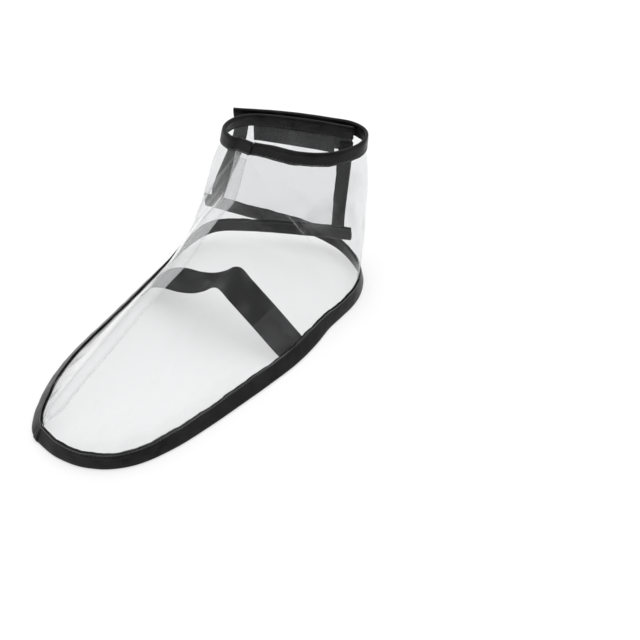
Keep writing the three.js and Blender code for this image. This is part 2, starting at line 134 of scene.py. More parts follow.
RIDGE = (
    RidgeRow(-31.0, -139.2, 10.9, 0), RidgeRow(-30.0, -129.0, 15.5, 0), RidgeRow(-29.0, -116.0, 21.2, 0),
    RidgeRow(-28.0, -100.0, 27.5, 0), RidgeRow(-27.0, -83.0, 33.0, 0), RidgeRow(-25.5, -62.0, 40.5, 0),
    RidgeRow(-24.5, -42.0, 47.0, 0), RidgeRow(-23.0, -18.0, 54.5, 0), RidgeRow(-21.5, 4.0, 60.5, 0),
    RidgeRow(-23.5, 26.0, 67.0, 0.15), RidgeRow(-25.5, 47.0, 71.5, 0.35), RidgeRow(-24.5, 65.0, 76.5, 0.6),
    RidgeRow(-23.0, 72.6, 91.0, 0.75), RidgeRow(-21.5, 78.3, 107.0, 0.9), RidgeRow(-19.0, 82.0, 118.8, 1),
)
NECK_ROW = len(RIDGE) - 2

MEDIAL_FOOT = (
    FootRow(-31, -146, 0, 58), FootRow(-13, -148.8, 0, 70), FootRow(7, -146.3, 0, 76),
    FootRow(24.5, -137.5, 0, 77), FootRow(38, -123, 0, 74), FootRow(49, -98.5, 0, 66),
    FootRow(56, -71.5, 0, 58), FootRow(62, -41, 0, 52), FootRow(67.2, -12, 0, 46),
    FootRow(70.8, 15, 0, 45), FootRow(70.6, 40, 0, 54), FootRow(68.6, 58, 0, 69),
    FootRow(68.8, 72, 0, 76), FootRow(69.2, 84, 0, 78), FootRow(68.3, 96, 0, 80),
    FootRow(65.3, 106.5, 0, 82), FootRow(60.5, 116.5, 0, 80), FootRow(53, 125.5, 0, 82),
    FootRow(41.5, 133, 0.3, 83), FootRow(28, 138, 2, 84), FootRow(12, 139, 4.5, 85),
    FootRow(-5, 135.3, 8.3, 85), FootRow(-25, 126.5, 13.8, 84), FootRow(-46, 114.2, 20, 84),
    FootRow(-68, 101.5, 27.5, 84),
)
# This panel's tape leans in up to 14 degrees further than its solid, and the film turns in that much less
LATERAL_FOOT = (
    FootRow(-31, -146, 0, 55), FootRow(-39.5, -141.6, 0, 53), FootRow(-47.5, -132.2, 0, 51),
    FootRow(-55.3, -118, 0, 49), FootRow(-62.8, -99.5, 0, 48), FootRow(-68.2, -77, 0, 48),
    FootRow(-70.9, -54, 0, 48), FootRow(-72.4, -28, 0, 48), FootRow(-74.2, -3, 0, 49),
    FootRow(-76.0, 20, 0, 51), FootRow(-77.4, 42, 0, 55), FootRow(-77.8, 57.5, 0.5, 62),
    FootRow(-77.2, 69, 2, 70), FootRow(-75.5, 79, 3.5, 74), FootRow(-72.8, 87.5, 5, 78),
    FootRow(-68.5, 94.5, 6.5, 80), FootRow(-61.5, 100.5, 8, 82), FootRow(-51, 105.5, 9.5, 84),
    FootRow(-35, 110.5, 12.5, 85), FootRow(-14, 115, 17, 86), FootRow(8, 118.5, 22, 87),
    FootRow(23, 120.5, 26, 87), FootRow(38, 122, 29.5, 87),
)
MEDIAL_COLLAR = (
    CollarRow(1, 86.5, 3.6), CollarRow(20, 90.5, 3.4), CollarRow(37, 100, 3), CollarRow(47.5, 114, 2),
    CollarRow(51, 129, 0.6), CollarRow(45.5, 140.5, -0.4), CollarRow(33, 144.5, -0.8),
    CollarRow(14, 139.5, -0.5), CollarRow(-8, 131.8, 0), CollarRow(-29, 122.5, 0.5),
    CollarRow(-50, 111.5, 1.2),
)
LATERAL_COLLAR = (
    CollarRow(-31, 80, 3.6), CollarRow(-41, 84.5, 3.4), CollarRow(-44.5, 93, 3),
    CollarRow(-42.5, 103.5, 2.2), CollarRow(-35, 112, 1), CollarRow(-22, 119, 0),
    CollarRow(-5, 126, -0.6), CollarRow(14, 132.8, -0.9), CollarRow(34, 138.5, -1),
)
STRAP_ARCH = (
    ArchRow(52.5, 13), ArchRow(34.5, 27), ArchRow(17.5, 39.5), ArchRow(8, 46.5), ArchRow(2.5, 45),
    ArchRow(-5.5, 38), ArchRow(-16.5, 30.5), ArchRow(-30.5, 25), ArchRow(-44.5, 22), ArchRow(-57.5, 16),
)


class Side(Enum):
    """Which side of the lap seam a panel lies on, as the sign of its X."""

    MEDIAL = 1
    LATERAL = -1


class Layer(Enum):
    """Whether a film is the outer or the covered one in the lap."""

    OUTER = 1
    COVERED = -1


class Face(Enum):
    """A face of a film: outside the cover or inside it."""

    OUTSIDE = 1
    INSIDE = -1


class Slot(Enum):
    """The record's material slots."""

    FILM = "film"
    TAPE = "tape"
    PATCH = "patch"
    STRAP = "strap"


def smoothstep(value: Array, low: float, high: float) -> Array:
    """Rises smoothly from 0 at low to 1 at high, as 3t squared less 2t cubed."""
    t = np.clip((value - low) / (high - low), 0.0, 1.0)
    return t * t * (3.0 - 2.0 * t)


def unit(vectors: Array) -> Array:
    """Vectors divided by their lengths."""
    return vectors / np.linalg.norm(vectors, axis=-1, keepdims=True)


def lerp(start: Array, end: Array, share: Array) -> Array:
    """The place between start and end at a share."""
    return start + (end - start) * share


def read_column(column: Array, rows: Array) -> Array:
    """Reads a column of a table at row numbers, straight between rows and level past the last one."""
    return np.interp(rows, np.arange(len(column)), column)


class RowCurve:
    """A centripetal Catmull-Rom curve, or a set of them side by side, read by row number."""

    def __init__(self, points: Array, straight_end: bool = False) -> None:
        """Works out each stretch's cubic from the points before, at and after it.

        Args:
            points: Array whose first axis is the row and whose last is X, Y, Z.
            straight_end: True if the last stretch is a straight line.
        """
        first = 2.0 * points[:1] - points[1:2]
        final = 2.0 * points[-1:] - points[-2:-1]
        every = np.concatenate([first, points, final])
        knots = np.linalg.norm(np.diff(every, axis=0), axis=-1, keepdims=True) ** 0.5
        before, here, after = knots[:-2], knots[1:-1], knots[2:]
        a, b, c, d = every[:-3], every[1:-2], every[2:-1], every[3:]
        leaving = ((b - a) / before - (c - a) / (before + here) + (c - b) / here) * here
        arriving = ((c - b) / here - (d - b) / (here + after) + (d - c) / after) * here
        if straight_end:
            leaving[-1] = c[-1] - b[-1]
            arriving[-1] = leaving[-1]
        square = 3.0 * (c - b) - 2.0 * leaving - arriving
        cube = 2.0 * (b - c) + leaving + arriving
        self.cubics = np.stack([b, leaving, square, cube])
        self.last = len(points) - 1

    def __call__(self, rows: Array) -> Array:
        """Points at row numbers, held at the two ends."""
        held = np.clip(rows, 0.0, self.last)
        stretch = np.minimum(held.astype(int), self.last - 1)
        share = (held - stretch).reshape((-1,) + (1,) * (self.cubics.ndim - 2))
        start, first, second, third = self.cubics[:, stretch]
        return start + share * (first + share * (second + share * third))


RIDGE_TABLE = np.array(RIDGE, float)
RIDGE_LINE = RowCurve(RIDGE_TABLE[:, :3])


def ridge_normal(rows: Array) -> Array:
    """Direction out of the film at the ridge, square to the ridge and to X."""
    along = RIDGE_LINE(rows + ROW_STEP) - RIDGE_LINE(rows - ROW_STEP)
    return unit(np.cross((1.0, 0.0, 0.0), along))


def lap_line(rows: Array, side: int, layer: int) -> Array:
    """A line of the lap seam: the ridge moved half the lap's width to one side and half a layer out.

    Args:
        rows: Row numbers along the ridge.
        side: 1 on the medial and -1 on the lateral side of the ridge.
        layer: 1 for the outer film and -1 for the covered one.

    Returns:
        One point for each row.
    """
    half = lerp(TOE_GAP, LAP / 2.0, smoothstep(rows, 0.0, LAP_FULL))
    lift = layer * smoothstep(rows, 0.0, LAP_START) * LAYER_STEP / 2.0
    points = RIDGE_LINE(rows) + ridge_normal(rows) * lift[:, None]
    points[:, 0] += side * half
    return points


class Stations(NamedTuple):
    """Places along a band, with the direction into the film and the film's normal at each."""

    place: Array
    inward: Array
    normal: Array

    def along(self) -> Array:
        """Direction of travel at each station."""
        return unit(np.gradient(self.place, axis=0))

    def distances(self) -> Array:
        """Distance travelled up to each station."""
        steps = np.linalg.norm(np.diff(self.place, axis=0), axis=1)
        return np.concatenate([[0.0], np.cumsum(steps)])

    def spaced(self, pitch: float) -> Stations:
        """The same band with stations an even pitch apart.

        Args:
            pitch: Distance wanted between stations, which is rounded to fit.

        Returns:
            New stations, each direction interpolated and made a unit again.
        """
        travelled = self.distances()
        count = max(2, int(round(travelled[-1] / pitch)) + 1)
        wanted = np.linspace(0.0, travelled[-1], count)
        place, inward, normal = (
            np.stack([np.interp(wanted, travelled, part[:, axis]) for axis in range(3)], axis=1)
            for part in self
        )
        return Stations(place, unit(inward), unit(normal))

    def run_on(self, distance: float) -> Stations:
        """The band carried straight on past its end by a distance."""
        onward = unit(self.place[-1] - self.place[-2])
        return Stations(
            np.vstack([self.place, self.place[-1] + onward * distance]),
            np.vstack([self.inward, self.inward[-1]]),
            np.vstack([self.normal, self.normal[-1]]),
        )


@dataclass
class Panel:
    """One film panel: its surface by row, from the toe to the flap, and by distance up the rib."""

    side: Side
    layer: Layer
    foot_table: tuple[FootRow, ...]
    collar_table: tuple[CollarRow, ...]
    over_foot: RibShape
    turn: float
    fullness: Fullness
    foot_line: RowCurve = field(init=False)
    ring: RowCurve = field(init=False)
    foot_lean: Array = field(init=False)
    collar_lean: Array = field(init=False)
    last_row: int = field(init=False)

    def __post_init__(self) -> None:
        """Makes the curves of the lower edge and of the collar from the tables."""
        foot = np.array(self.foot_table, float)
        collar = np.array(self.collar_table, float)
        self.last_row = len(foot) - 1
        self.foot_lean = foot[:, 3]
        self.collar_lean = np.concatenate([[0.0], collar[:, 2]])
        edge = foot[:, :3].copy()
        edge[0, 0] += self.side.value * TOE_GAP
        self.foot_line = RowCurve(edge, straight_end=True)
        top = np.column_stack([collar[:, :2], np.full(len(collar), COLLAR_EDGE)])
        seam_top = lap_line(np.array([NECK_ROW + 1.0]), self.side.value, self.layer.value)
        self.ring = RowCurve(np.vstack([seam_top, top]), straight_end=True)

    def foot(self, rows: Array) -> Array:
        """Lower edge of the panel, nowhere below the floor."""
        points = self.foot_line(rows)
        points[:, 2] = np.maximum(points[:, 2], 0.0)
        return points

    def neck(self, rows: Array) -> Array:
        """Where the film leaves the collar tape: below the ring and out by the lean."""
        place = np.maximum(rows - NECK_ROW, 0.0)
        seam = lap_line(np.full(len(rows), float(NECK_ROW)), self.side.value, self.layer.value)
        along = unit(self.ring(place + ROW_STEP) - self.ring(place - ROW_STEP))
        out = np.cross(along, UP * self.side.value)
        neck = self.ring(place) + out * read_column(self.collar_lean, place)[:, None]
        neck[:, 2] = RIDGE_TABLE[NECK_ROW, 2]
        return lerp(seam, neck, np.clip(place, 0.0, 1.0)[:, None])

    def edge_along(self, rows: Array) -> Array:
        """Level direction along the lower edge, which is square to the cover's length at the toe."""
        along = self.foot(rows + ROW_STEP) - self.foot(rows - ROW_STEP)
        along[:, 2] = 0.0
        square = np.array((self.side.value, 0.0, 0.0))
        return unit(lerp(square, unit(along), smoothstep(rows, 0.0, TOE_SQUARE)[:, None]))

    def rising(self, rows: Array, turned: Array | float = 0.0) -> Array:
        """Direction up the film inside the lower tape: inward by the cosine of the lean, up by its sine.

        Args:
            rows: Row numbers.
            turned: Degrees by which the film leans in further than the table says.

        Returns:
            One unit vector for each row.
        """
        inward = np.cross(self.edge_along(rows), -UP * self.side.value)
        lean = np.radians(read_column(self.foot_lean, rows) - turned)[:, None]
        return inward * np.cos(lean) + UP * np.sin(lean)

    def swelling(self, rows: Array) -> Array:
        """Fullness round the ankle: rises smoothly to its peak row and falls smoothly after it."""
        full = self.fullness
        rise = smoothstep(rows, full.first, full.peak)
        fall = 1.0 - smoothstep(rows, full.peak, full.last)
        return (full.amount * rise * fall)[:, None] * np.array(full.toward)

    def arrival(self, rows: Array, run: Array, rise: Array, drop: Array, outward: Array) -> Array:
        """Handle with which a rib comes up to the seam or the collar tape.

        Beside the seam it is a share of the rise and of the run, turned into the plane of the lap.
        Round the ankle it follows the film inside the collar tape.

        Args:
            rows: Row numbers.
            run: Level part of the way from foot to top.
            rise: Upright part of that way.
            drop: Share of the rise.
            outward: Share of the run.

        Returns:
            One vector for each row.
        """
        beside = rise * drop + run * outward
        normal = ridge_normal(np.minimum(rows, NECK_ROW))
        beside = beside - FLATTEN * np.sum(beside * normal, axis=1, keepdims=True) * normal
        place = np.maximum(rows - NECK_ROW, 0.0)
        below = unit(self.ring(place) - self.neck(rows)) * drop * np.linalg.norm(rise, axis=1, keepdims=True)
        return lerp(beside, below, np.clip(place, 0.0, 1.0)[:, None])

    def ribs(self, rows: Array) -> Array:
        """Points up each rib: straight in the lower tape, a Bezier arc, and straight in the collar tape.

        Args:
            rows: Row numbers.

        Returns:
            Array of rows by samples by X, Y, Z.
        """
        foot = self.foot(rows)
        before = lap_line(np.minimum(rows, NECK_ROW), self.side.value, self.layer.value)
        top = np.where((rows <= NECK_ROW)[:, None], before, self.neck(rows))
        share = read_column(RIDGE_TABLE[:, 3], rows)[:, None]
        reach, drop, outward = (lerp(a, b, share) for a, b in zip(self.over_foot, ROUND_ANKLE))
        level = np.array((1.0, 1.0, 0.0))
        leaving = self.rising(rows)
        shoulder = foot + leaving * TAPED
        turned = self.turn * smoothstep(rows, 0.0, LAP_FULL) * (1.0 - share[:, 0])
        swelling = self.swelling(rows) * 4.0 / 3.0
        handle = reach * np.linalg.norm(top - shoulder, axis=1, keepdims=True)
        lower = shoulder + self.rising(rows, turned) * handle + swelling
        upper = top - self.arrival(rows, (top - foot) * level, (top - foot) * UP, drop, outward) + swelling
        t = np.linspace(0.0, 1.0, RIB_SAMPLES)[None, :, None]
        parts = [(1 - t) ** 3, 3 * t * (1 - t) ** 2, 3 * t**2 * (1 - t), t**3]
        arc = sum(part * p[:, None, :] for part, p in zip(parts, (shoulder, lower, upper, top)))
        ring = np.where((rows >= NECK_ROW)[:, None], self.ring(rows - NECK_ROW), top)
        return np.concatenate([foot[:, None], arc, ring[:, None]], axis=1)

    def surface(self, rows: Array, distances: Array) -> Array:
        """Middle of the film at distances up each rib, found by straight steps along its samples.

        Args:
            rows: Row numbers.
            distances: Array of rows by distances from the lower edge.

        Returns:
            Array of rows by distances by X, Y, Z.
        """
        ribs = self.ribs(rows)
        steps = np.linalg.norm(np.diff(ribs, axis=1), axis=2)
        travelled = np.concatenate([np.zeros((len(rows), 1)), np.cumsum(steps, axis=1)], axis=1)
        after = np.sum(travelled[:, None, :] <= distances[:, :, None], axis=2)
        index = np.clip(after - 1, 0, ribs.shape[1] - 2)
        lane = np.arange(len(rows))[:, None]
        stretch = np.maximum(steps[lane, index], 1e-9)
        share = np.clip((distances - travelled[lane, index]) / stretch, 0.0, 1.0)
        return lerp(ribs[lane, index], ribs[lane, index + 1], share[..., None])

    def lengths(self, rows: Array) -> tuple[Array, Array]:
        """Length of each rib up to the collar tape, and up to the film's top edge."""
        ribs = self.ribs(rows)
        steps = np.linalg.norm(np.diff(ribs, axis=1), axis=2)
        return steps[:, :-1].sum(axis=1), steps.sum(axis=1)

    def row_at(self, y: float) -> float:
        """Row where the lower edge passes a given Y on the cover's side, from closely spaced rows."""
        rows = np.linspace(2.0, NECK_ROW, 2001)
        return float(np.interp(y, self.foot(rows)[:, 1], rows))

    def foot_stations(self, rows: Array) -> Stations:
        """Stations of the lower tape, at the fold under the film's edge."""
        inward = self.rising(rows)
        normal = unit(np.cross(self.edge_along(rows), inward)) * self.side.value
        return Stations(self.foot(rows), inward, normal)

    def collar_stations(self, rows: Array) -> Stations:
        """Stations of the collar tape, a fold's depth above the film's top edge."""
        place = rows - NECK_ROW
        ring = self.ring(place)
        up = unit(ring - self.neck(rows))
        along = unit(self.ring(place + ROW_STEP) - self.ring(place - ROW_STEP))
        return Stations(ring + up * TAPE_FOLD, -up, unit(np.cross(along, up)) * self.side.value)

    def flap_stations(self, distances: Array) -> Stations:
        """Stations of the tape on the flap's upright edge, a fold's depth past the film's end."""
        rows = np.array([self.last_row - 2.0 * ROW_STEP, float(self.last_row)])
        before, edge = self.surface(rows, np.vstack([distances, distances]))
        along = unit(edge - before)
        up = unit(np.gradient(edge, axis=0))
        return Stations(edge + along * TAPE_FOLD, -along, unit(np.cross(along, up)) * self.side.value)


MEDIAL_FULLNESS = Fullness(7.5, 13.0, 17.0, 20.5, (0.83, 0.56, 0.0))
LATERAL_FULLNESS = Fullness(6.5, 11.0, 14.0, 17.0, (-0.83, -0.56, 0.0))
MEDIAL = Panel(
    Side.MEDIAL, Layer.COVERED, MEDIAL_FOOT, MEDIAL_COLLAR, MEDIAL_OVER_FOOT, 0.0, MEDIAL_FULLNESS
)
LATERAL = Panel(
    Side.LATERAL, Layer.OUTER, LATERAL_FOOT, LATERAL_COLLAR, LATERAL_OVER_FOOT, 16.0, LATERAL_FULLNESS
)


def grid_normals(grid: Array) -> Array:
    """Unit normals of a grid of points: the cross product of its two gradients."""
    return unit(np.cross(np.gradient(grid, axis=0), np.gradient(grid, axis=1)))


def grid_faces(rows: int, columns: int, closed: bool = False) -> Array:
    """Quads of a grid of points numbered row by row.

    Args:
        rows: Number of rows.
        columns: Number of points in a row.
        closed: True if each row is a loop that closes on itself.

    Returns:
        Array of quads by four point numbers.
    """
    wide = columns if closed else columns - 1
    i, j = np.meshgrid(np.arange(rows - 1), np.arange(wide), indexing="ij")
    after = (j + 1) % columns
    corners = [i * columns + j, (i + 1) * columns + j, (i + 1) * columns + after, i * columns + after]
    return np.stack([corner.ravel() for corner in corners], axis=1)


@dataclass
class MeshPart:
    """Points in millimetres, blocks of faces, a UV for each point in metres, and finish numbers.

    A block is an array of faces by point numbers, so all its faces have the same number of corners.
    """

    points: Array
    blocks: list[Array]
    uv: Array
    finish: Array | None = None

    def count(self) -> int:
        """Number of faces in all blocks."""
        return sum(len(block) for block in self.blocks)

    def finishes(self) -> Array:
        """Finish number of each face, 0 unless it was set."""
        return np.zeros(self.count(), int) if self.finish is None else self.finish

    def finished_as(self, number: int) -> MeshPart:
        """The same part with one finish number on every face."""
        return MeshPart(self.points, self.blocks, self.uv, np.full(self.count(), number))

    def joined(self, other: MeshPart) -> MeshPart:
        """This part and another in one mesh."""
        return MeshPart(
            np.vstack([self.points, other.points]),
            self.blocks + [block + len(self.points) for block in other.blocks],
            np.vstack([self.uv, other.uv]),
            np.concatenate([self.finishes(), other.finishes()]),
        )

    def welded(self) -> MeshPart:
        """The same mesh with points that round to the same place made one, less the faces that collapse."""
        keys = np.round(self.points, WELD_DECIMALS)
        _, first, number = np.unique(keys, axis=0, return_index=True, return_inverse=True)
        blocks = [number.ravel()[block] for block in self.blocks]
        whole = [np.diff(np.sort(block, axis=1), axis=1).all(axis=1) for block in blocks]
        kept = [block[keep] for block, keep in zip(blocks, whole)]
        return MeshPart(self.points[first], kept, self.uv[first], self.finishes()[np.concatenate(whole)])

    def turned_over(self) -> MeshPart:
        """The same part with its faces turned round."""
        return MeshPart(self.points, [block[:, ::-1] for block in self.blocks], self.uv, self.finish)

    def signed_volume(self) -> float:
        """Volume inside a closed mesh, negative where its faces point in, by fans of tetrahedra."""
        total = 0.0
        for block in self.blocks:
            a, b, c = (self.points[block[:, part]] for part in (slice(0, 1), slice(1, -1), slice(2, None)))
            total += float(np.sum(a * np.cross(b, c))) / 6.0
        return total

    def facing_out(self) -> MeshPart:
        """A closed mesh with its faces turned round if they point in."""
        return self if self.signed_volume() >= 0.0 else self.turned_over()


def grid_part(grid: Array, uv: Array, flip: bool = False) -> MeshPart:
    """An open sheet from a grid of points and of UVs, turned over on request."""
    part = MeshPart(grid.reshape(-1, 3), [grid_faces(*grid.shape[:2])], uv.reshape(-1, 2))
    return part.turned_over() if flip else part


def loop_blocks(rows: int, columns: int) -> list[Array]:
    """Faces of loops of points numbered row by row: the quads between them, and one face over each end."""
    ends = np.stack([np.arange(columns), np.arange(rows * columns - 1, (rows - 1) * columns - 1, -1)])
    return [grid_faces(rows, columns, closed=True), ends]


def loop_part(grid: Array, uv: Array) -> MeshPart:
    """A closed body from loops of points carried along a path, with its faces pointing out."""
    return MeshPart(grid.reshape(-1, 3), loop_blocks(*grid.shape[:2]), uv.reshape(-1, 2)).facing_out()


class Nodes:
    """A small helper that adds shader nodes and links them by socket name."""

    def __init__(self, name: str) -> None:
        """Starts an empty material with that name."""
        self.material = bpy.data.materials.new(name)
        self.material.use_nodes = True
        self.tree = self.material.node_tree
        self.tree.nodes.clear()
        self.output = self.add("ShaderNodeOutputMaterial")

    def add(self, kind: str, settings: dict | None = None, **sockets: object) -> bpy.types.Node:
        """Adds a node, sets its properties, and sets or links its inputs.

        Args:
            kind: Blender's name of the node type.
            settings: Properties of the node itself.
            **sockets: Inputs by name, with _ for a space; a number or a socket to link.

        Returns:
            The new node.
        """
        node = self.tree.nodes.new(kind)
        for name, value in (settings or {}).items():
            setattr(node, name, value)
        for name, value in sockets.items():
            self.feed(node.inputs[name.replace("_", " ")], value)
        return node

    def feed(self, socket: bpy.types.NodeSocket, value: object) -> None:
        """Links a socket to another one, or sets its value."""
        if isinstance(value, bpy.types.NodeSocket):
            self.tree.links.new(value, socket)
        else:
            socket.default_value = value

    def math(self, operation: str, *values: object) -> bpy.types.NodeSocket:
        """Adds a Math node and returns its output."""
        node = self.tree.nodes.new("ShaderNodeMath")
        node.operation = operation
        for socket, value in zip(node.inputs, values):
            self.feed(socket, value)
        return node.outputs[0]

    def ramp(self, factor: object, *stops: tuple[float, tuple[float, float, float]]) -> bpy.types.NodeSocket:
        """Adds a colour ramp through stops of place and colour, and returns its colour."""
        node = self.tree.nodes.new("ShaderNodeValToRGB")
        self.feed(node.inputs["Fac"], factor)
        elements = node.color_ramp.elements
        while len(elements) < len(stops):
            elements.new(0.5)
        for element, (place, colour) in zip(elements, stops):
            element.position = place
            element.color = (*colour, 1.0)
        return node.outputs["Color"]

    def finished(self, shader: bpy.types.NodeSocket) -> bpy.types.Material:
        """Links the shader to the output and returns the material."""
        self.feed(self.output.inputs["Surface"], shader)
        return self.material


@dataclass(frozen=True)
class ClearFilm:
    """Soft clear film: see-through with a faint grey tint, and glossy, most of all when seen aslant.

    The gloss rises as a power of the slant. From the tape upward the power changes from slant_power
    to slant_power_above and painted_reflection_above, a painted pale wash that stands in for reflection,
    comes in, except at the heel, where both stay as at the tape. The pale streaks in the haze are painted
    reflection.
    """

    name: str = "clear_film"
    tint: tuple[float, float, float] = (0.95, 0.952, 0.954)
    haze: float = 0.008
    facing_gloss: float = 0.01
    slant_gloss: float = 0.92
    slant_power: float = 5.0
    slant_power_above: float = 5.0
    # Strength of a painted pale wash above the tape, which stands in for reflection on the film
    painted_reflection_above: float = 0.0
    above: tuple[float, float] = (0.02, 0.036)
    heel_from: tuple[float, float] = (0.055, 0.085)
    # Strength of the painted reflection streaks in the haze
    painted_streak: float = 0.13
    streak_from: tuple[float, float] = (0.5, 0.78)
    streak_scale: tuple[float, float, float] = (30.0, 7.0, 22.0)
    streak_turn: float = 0.35
    roughness: float = 0.06

    def share_above(self, nodes: Nodes, where: bpy.types.NodeSocket,
                    up: bpy.types.NodeSocket) -> bpy.types.NodeSocket:
        """How far each place is above the tape and before the heel, from the UV's way up and the Y."""
        along = nodes.add("ShaderNodeSeparateXYZ", Vector=where).outputs["Y"]
        smooth = {"interpolation_type": "SMOOTHSTEP"}
        low, high = self.above
        risen = nodes.add("ShaderNodeMapRange", smooth, Value=up, From_Min=low, From_Max=high)
        front = nodes.add(
            "ShaderNodeMapRange", smooth, Value=along, From_Min=self.heel_from[0], From_Max=self.heel_from[1],
            To_Min=1.0, To_Max=0.0,
        )
        return nodes.math("MULTIPLY", risen.outputs["Result"], front.outputs["Result"])

    def material(self) -> bpy.types.Material:
        """Mixes see-through, haze and gloss; long soft pale streaks from stretched noise in the haze are
        painted reflection.
        """
        nodes = Nodes(self.name)
        coordinates = nodes.add("ShaderNodeTexCoord")
        where = coordinates.outputs["Object"]
        up = nodes.add("ShaderNodeSeparateXYZ", Vector=coordinates.outputs["UV"]).outputs["Y"]
        # Painted reflection: pale streaks of stretched noise are mixed into the haze, standing in for
        # reflections on the film
        stretched = nodes.add(
            "ShaderNodeMapping", Vector=where, Scale=self.streak_scale, Rotation=(0.0, 0.0, self.streak_turn)
        )
        patches = nodes.add("ShaderNodeTexNoise", Vector=stretched.outputs[0], Scale=1.0, Detail=1.5)
        streaks = nodes.add(
            "ShaderNodeMapRange", {"interpolation_type": "SMOOTHSTEP"}, Value=patches.outputs["Fac"],
            From_Min=self.streak_from[0], From_Max=self.streak_from[1],
            To_Min=self.haze, To_Max=self.haze + self.painted_streak,
        )
        waves = nodes.add("ShaderNodeTexNoise", Vector=where, Scale=22.0, Detail=2.0, Roughness=0.4)
        fine = nodes.add("ShaderNodeTexNoise", Vector=where, Scale=160.0, Detail=3.0)
        wavy = nodes.add("ShaderNodeBump", Strength=0.35, Distance=0.0006, Height=waves.outputs["Fac"])
        bump = nodes.add(
            "ShaderNodeBump", Strength=0.12, Distance=0.0002, Height=fine.outputs["Fac"],
            Normal=wavy.outputs["Normal"],
        )
        slant = nodes.add("ShaderNodeLayerWeight", Blend=0.5).outputs["Facing"]
        share = self.share_above(nodes, where, up)
        power = nodes.math("MULTIPLY_ADD", share, self.slant_power_above - self.slant_power, self.slant_power)
        raised = nodes.math("POWER", slant, power)
        gloss = nodes.math("MULTIPLY_ADD", raised, self.slant_gloss, self.facing_gloss)
        rough = nodes.math("MULTIPLY_ADD", fine.outputs["Fac"], 0.04, self.roughness)
        clear = nodes.add("ShaderNodeBsdfTransparent", Color=(*self.tint, 1.0))
        hazy = nodes.add("ShaderNodeBsdfPrincipled", Base_Color=(0.95, 0.955, 0.96, 1.0), Roughness=0.5)
        # The film's own haze plus painted reflection: the pale streaks and, above the tape, the pale wash
        haze = nodes.math("MULTIPLY_ADD", share, self.painted_reflection_above, streaks.outputs["Result"])
        body = nodes.add("ShaderNodeMixShader", Fac=haze)
        nodes.feed(body.inputs[1], clear.outputs[0])
        nodes.feed(body.inputs[2], hazy.outputs[0])
        shine = nodes.add(
            "ShaderNodeBsdfGlossy", Color=(1.0, 1.0, 1.0, 1.0), Roughness=rough, Normal=bump.outputs["Normal"]
        )
        mixed = nodes.add("ShaderNodeMixShader", Fac=gloss)
        nodes.feed(mixed.inputs[1], body.outputs[0])
        nodes.feed(mixed.inputs[2], shine.outputs[0])
        return nodes.finished(mixed.outputs[0])


@dataclass(frozen=True)
class CutEdge:
    """The cut edge of the film, painted pale as a highlight where the edge catches light, so that it shows as
    a pale line.
    """

    name: str = "film_cut_edge"
    see_through: float = 0.45

    def material(self) -> bpy.types.Material:
        """Mixes see-through with a pale rough surface that varies along the cut, a painted highlight."""
        nodes = Nodes(self.name)
        where = nodes.add("ShaderNodeTexCoord").outputs["Object"]
        noise = nodes.add("ShaderNodeTexNoise", Vector=where, Scale=300.0, Detail=2.0).outputs["Fac"]
        # Painted highlight: the pale colour of the cut stands in for light caught on the edge
        pale = nodes.ramp(noise, (0.3, (0.62, 0.63, 0.64)), (0.7, (0.86, 0.87, 0.88)))
        clear = nodes.add("ShaderNodeBsdfTransparent", Color=(0.93, 0.94, 0.95, 1.0))
        body = nodes.add("ShaderNodeBsdfPrincipled", Base_Color=pale, Roughness=0.35)
        mixed = nodes.add("ShaderNodeMixShader", Fac=1.0 - self.see_through)
        nodes.feed(mixed.inputs[1], clear.outputs[0])
        nodes.feed(mixed.inputs[2], body.outputs[0])
        return nodes.finished(mixed.outputs[0])


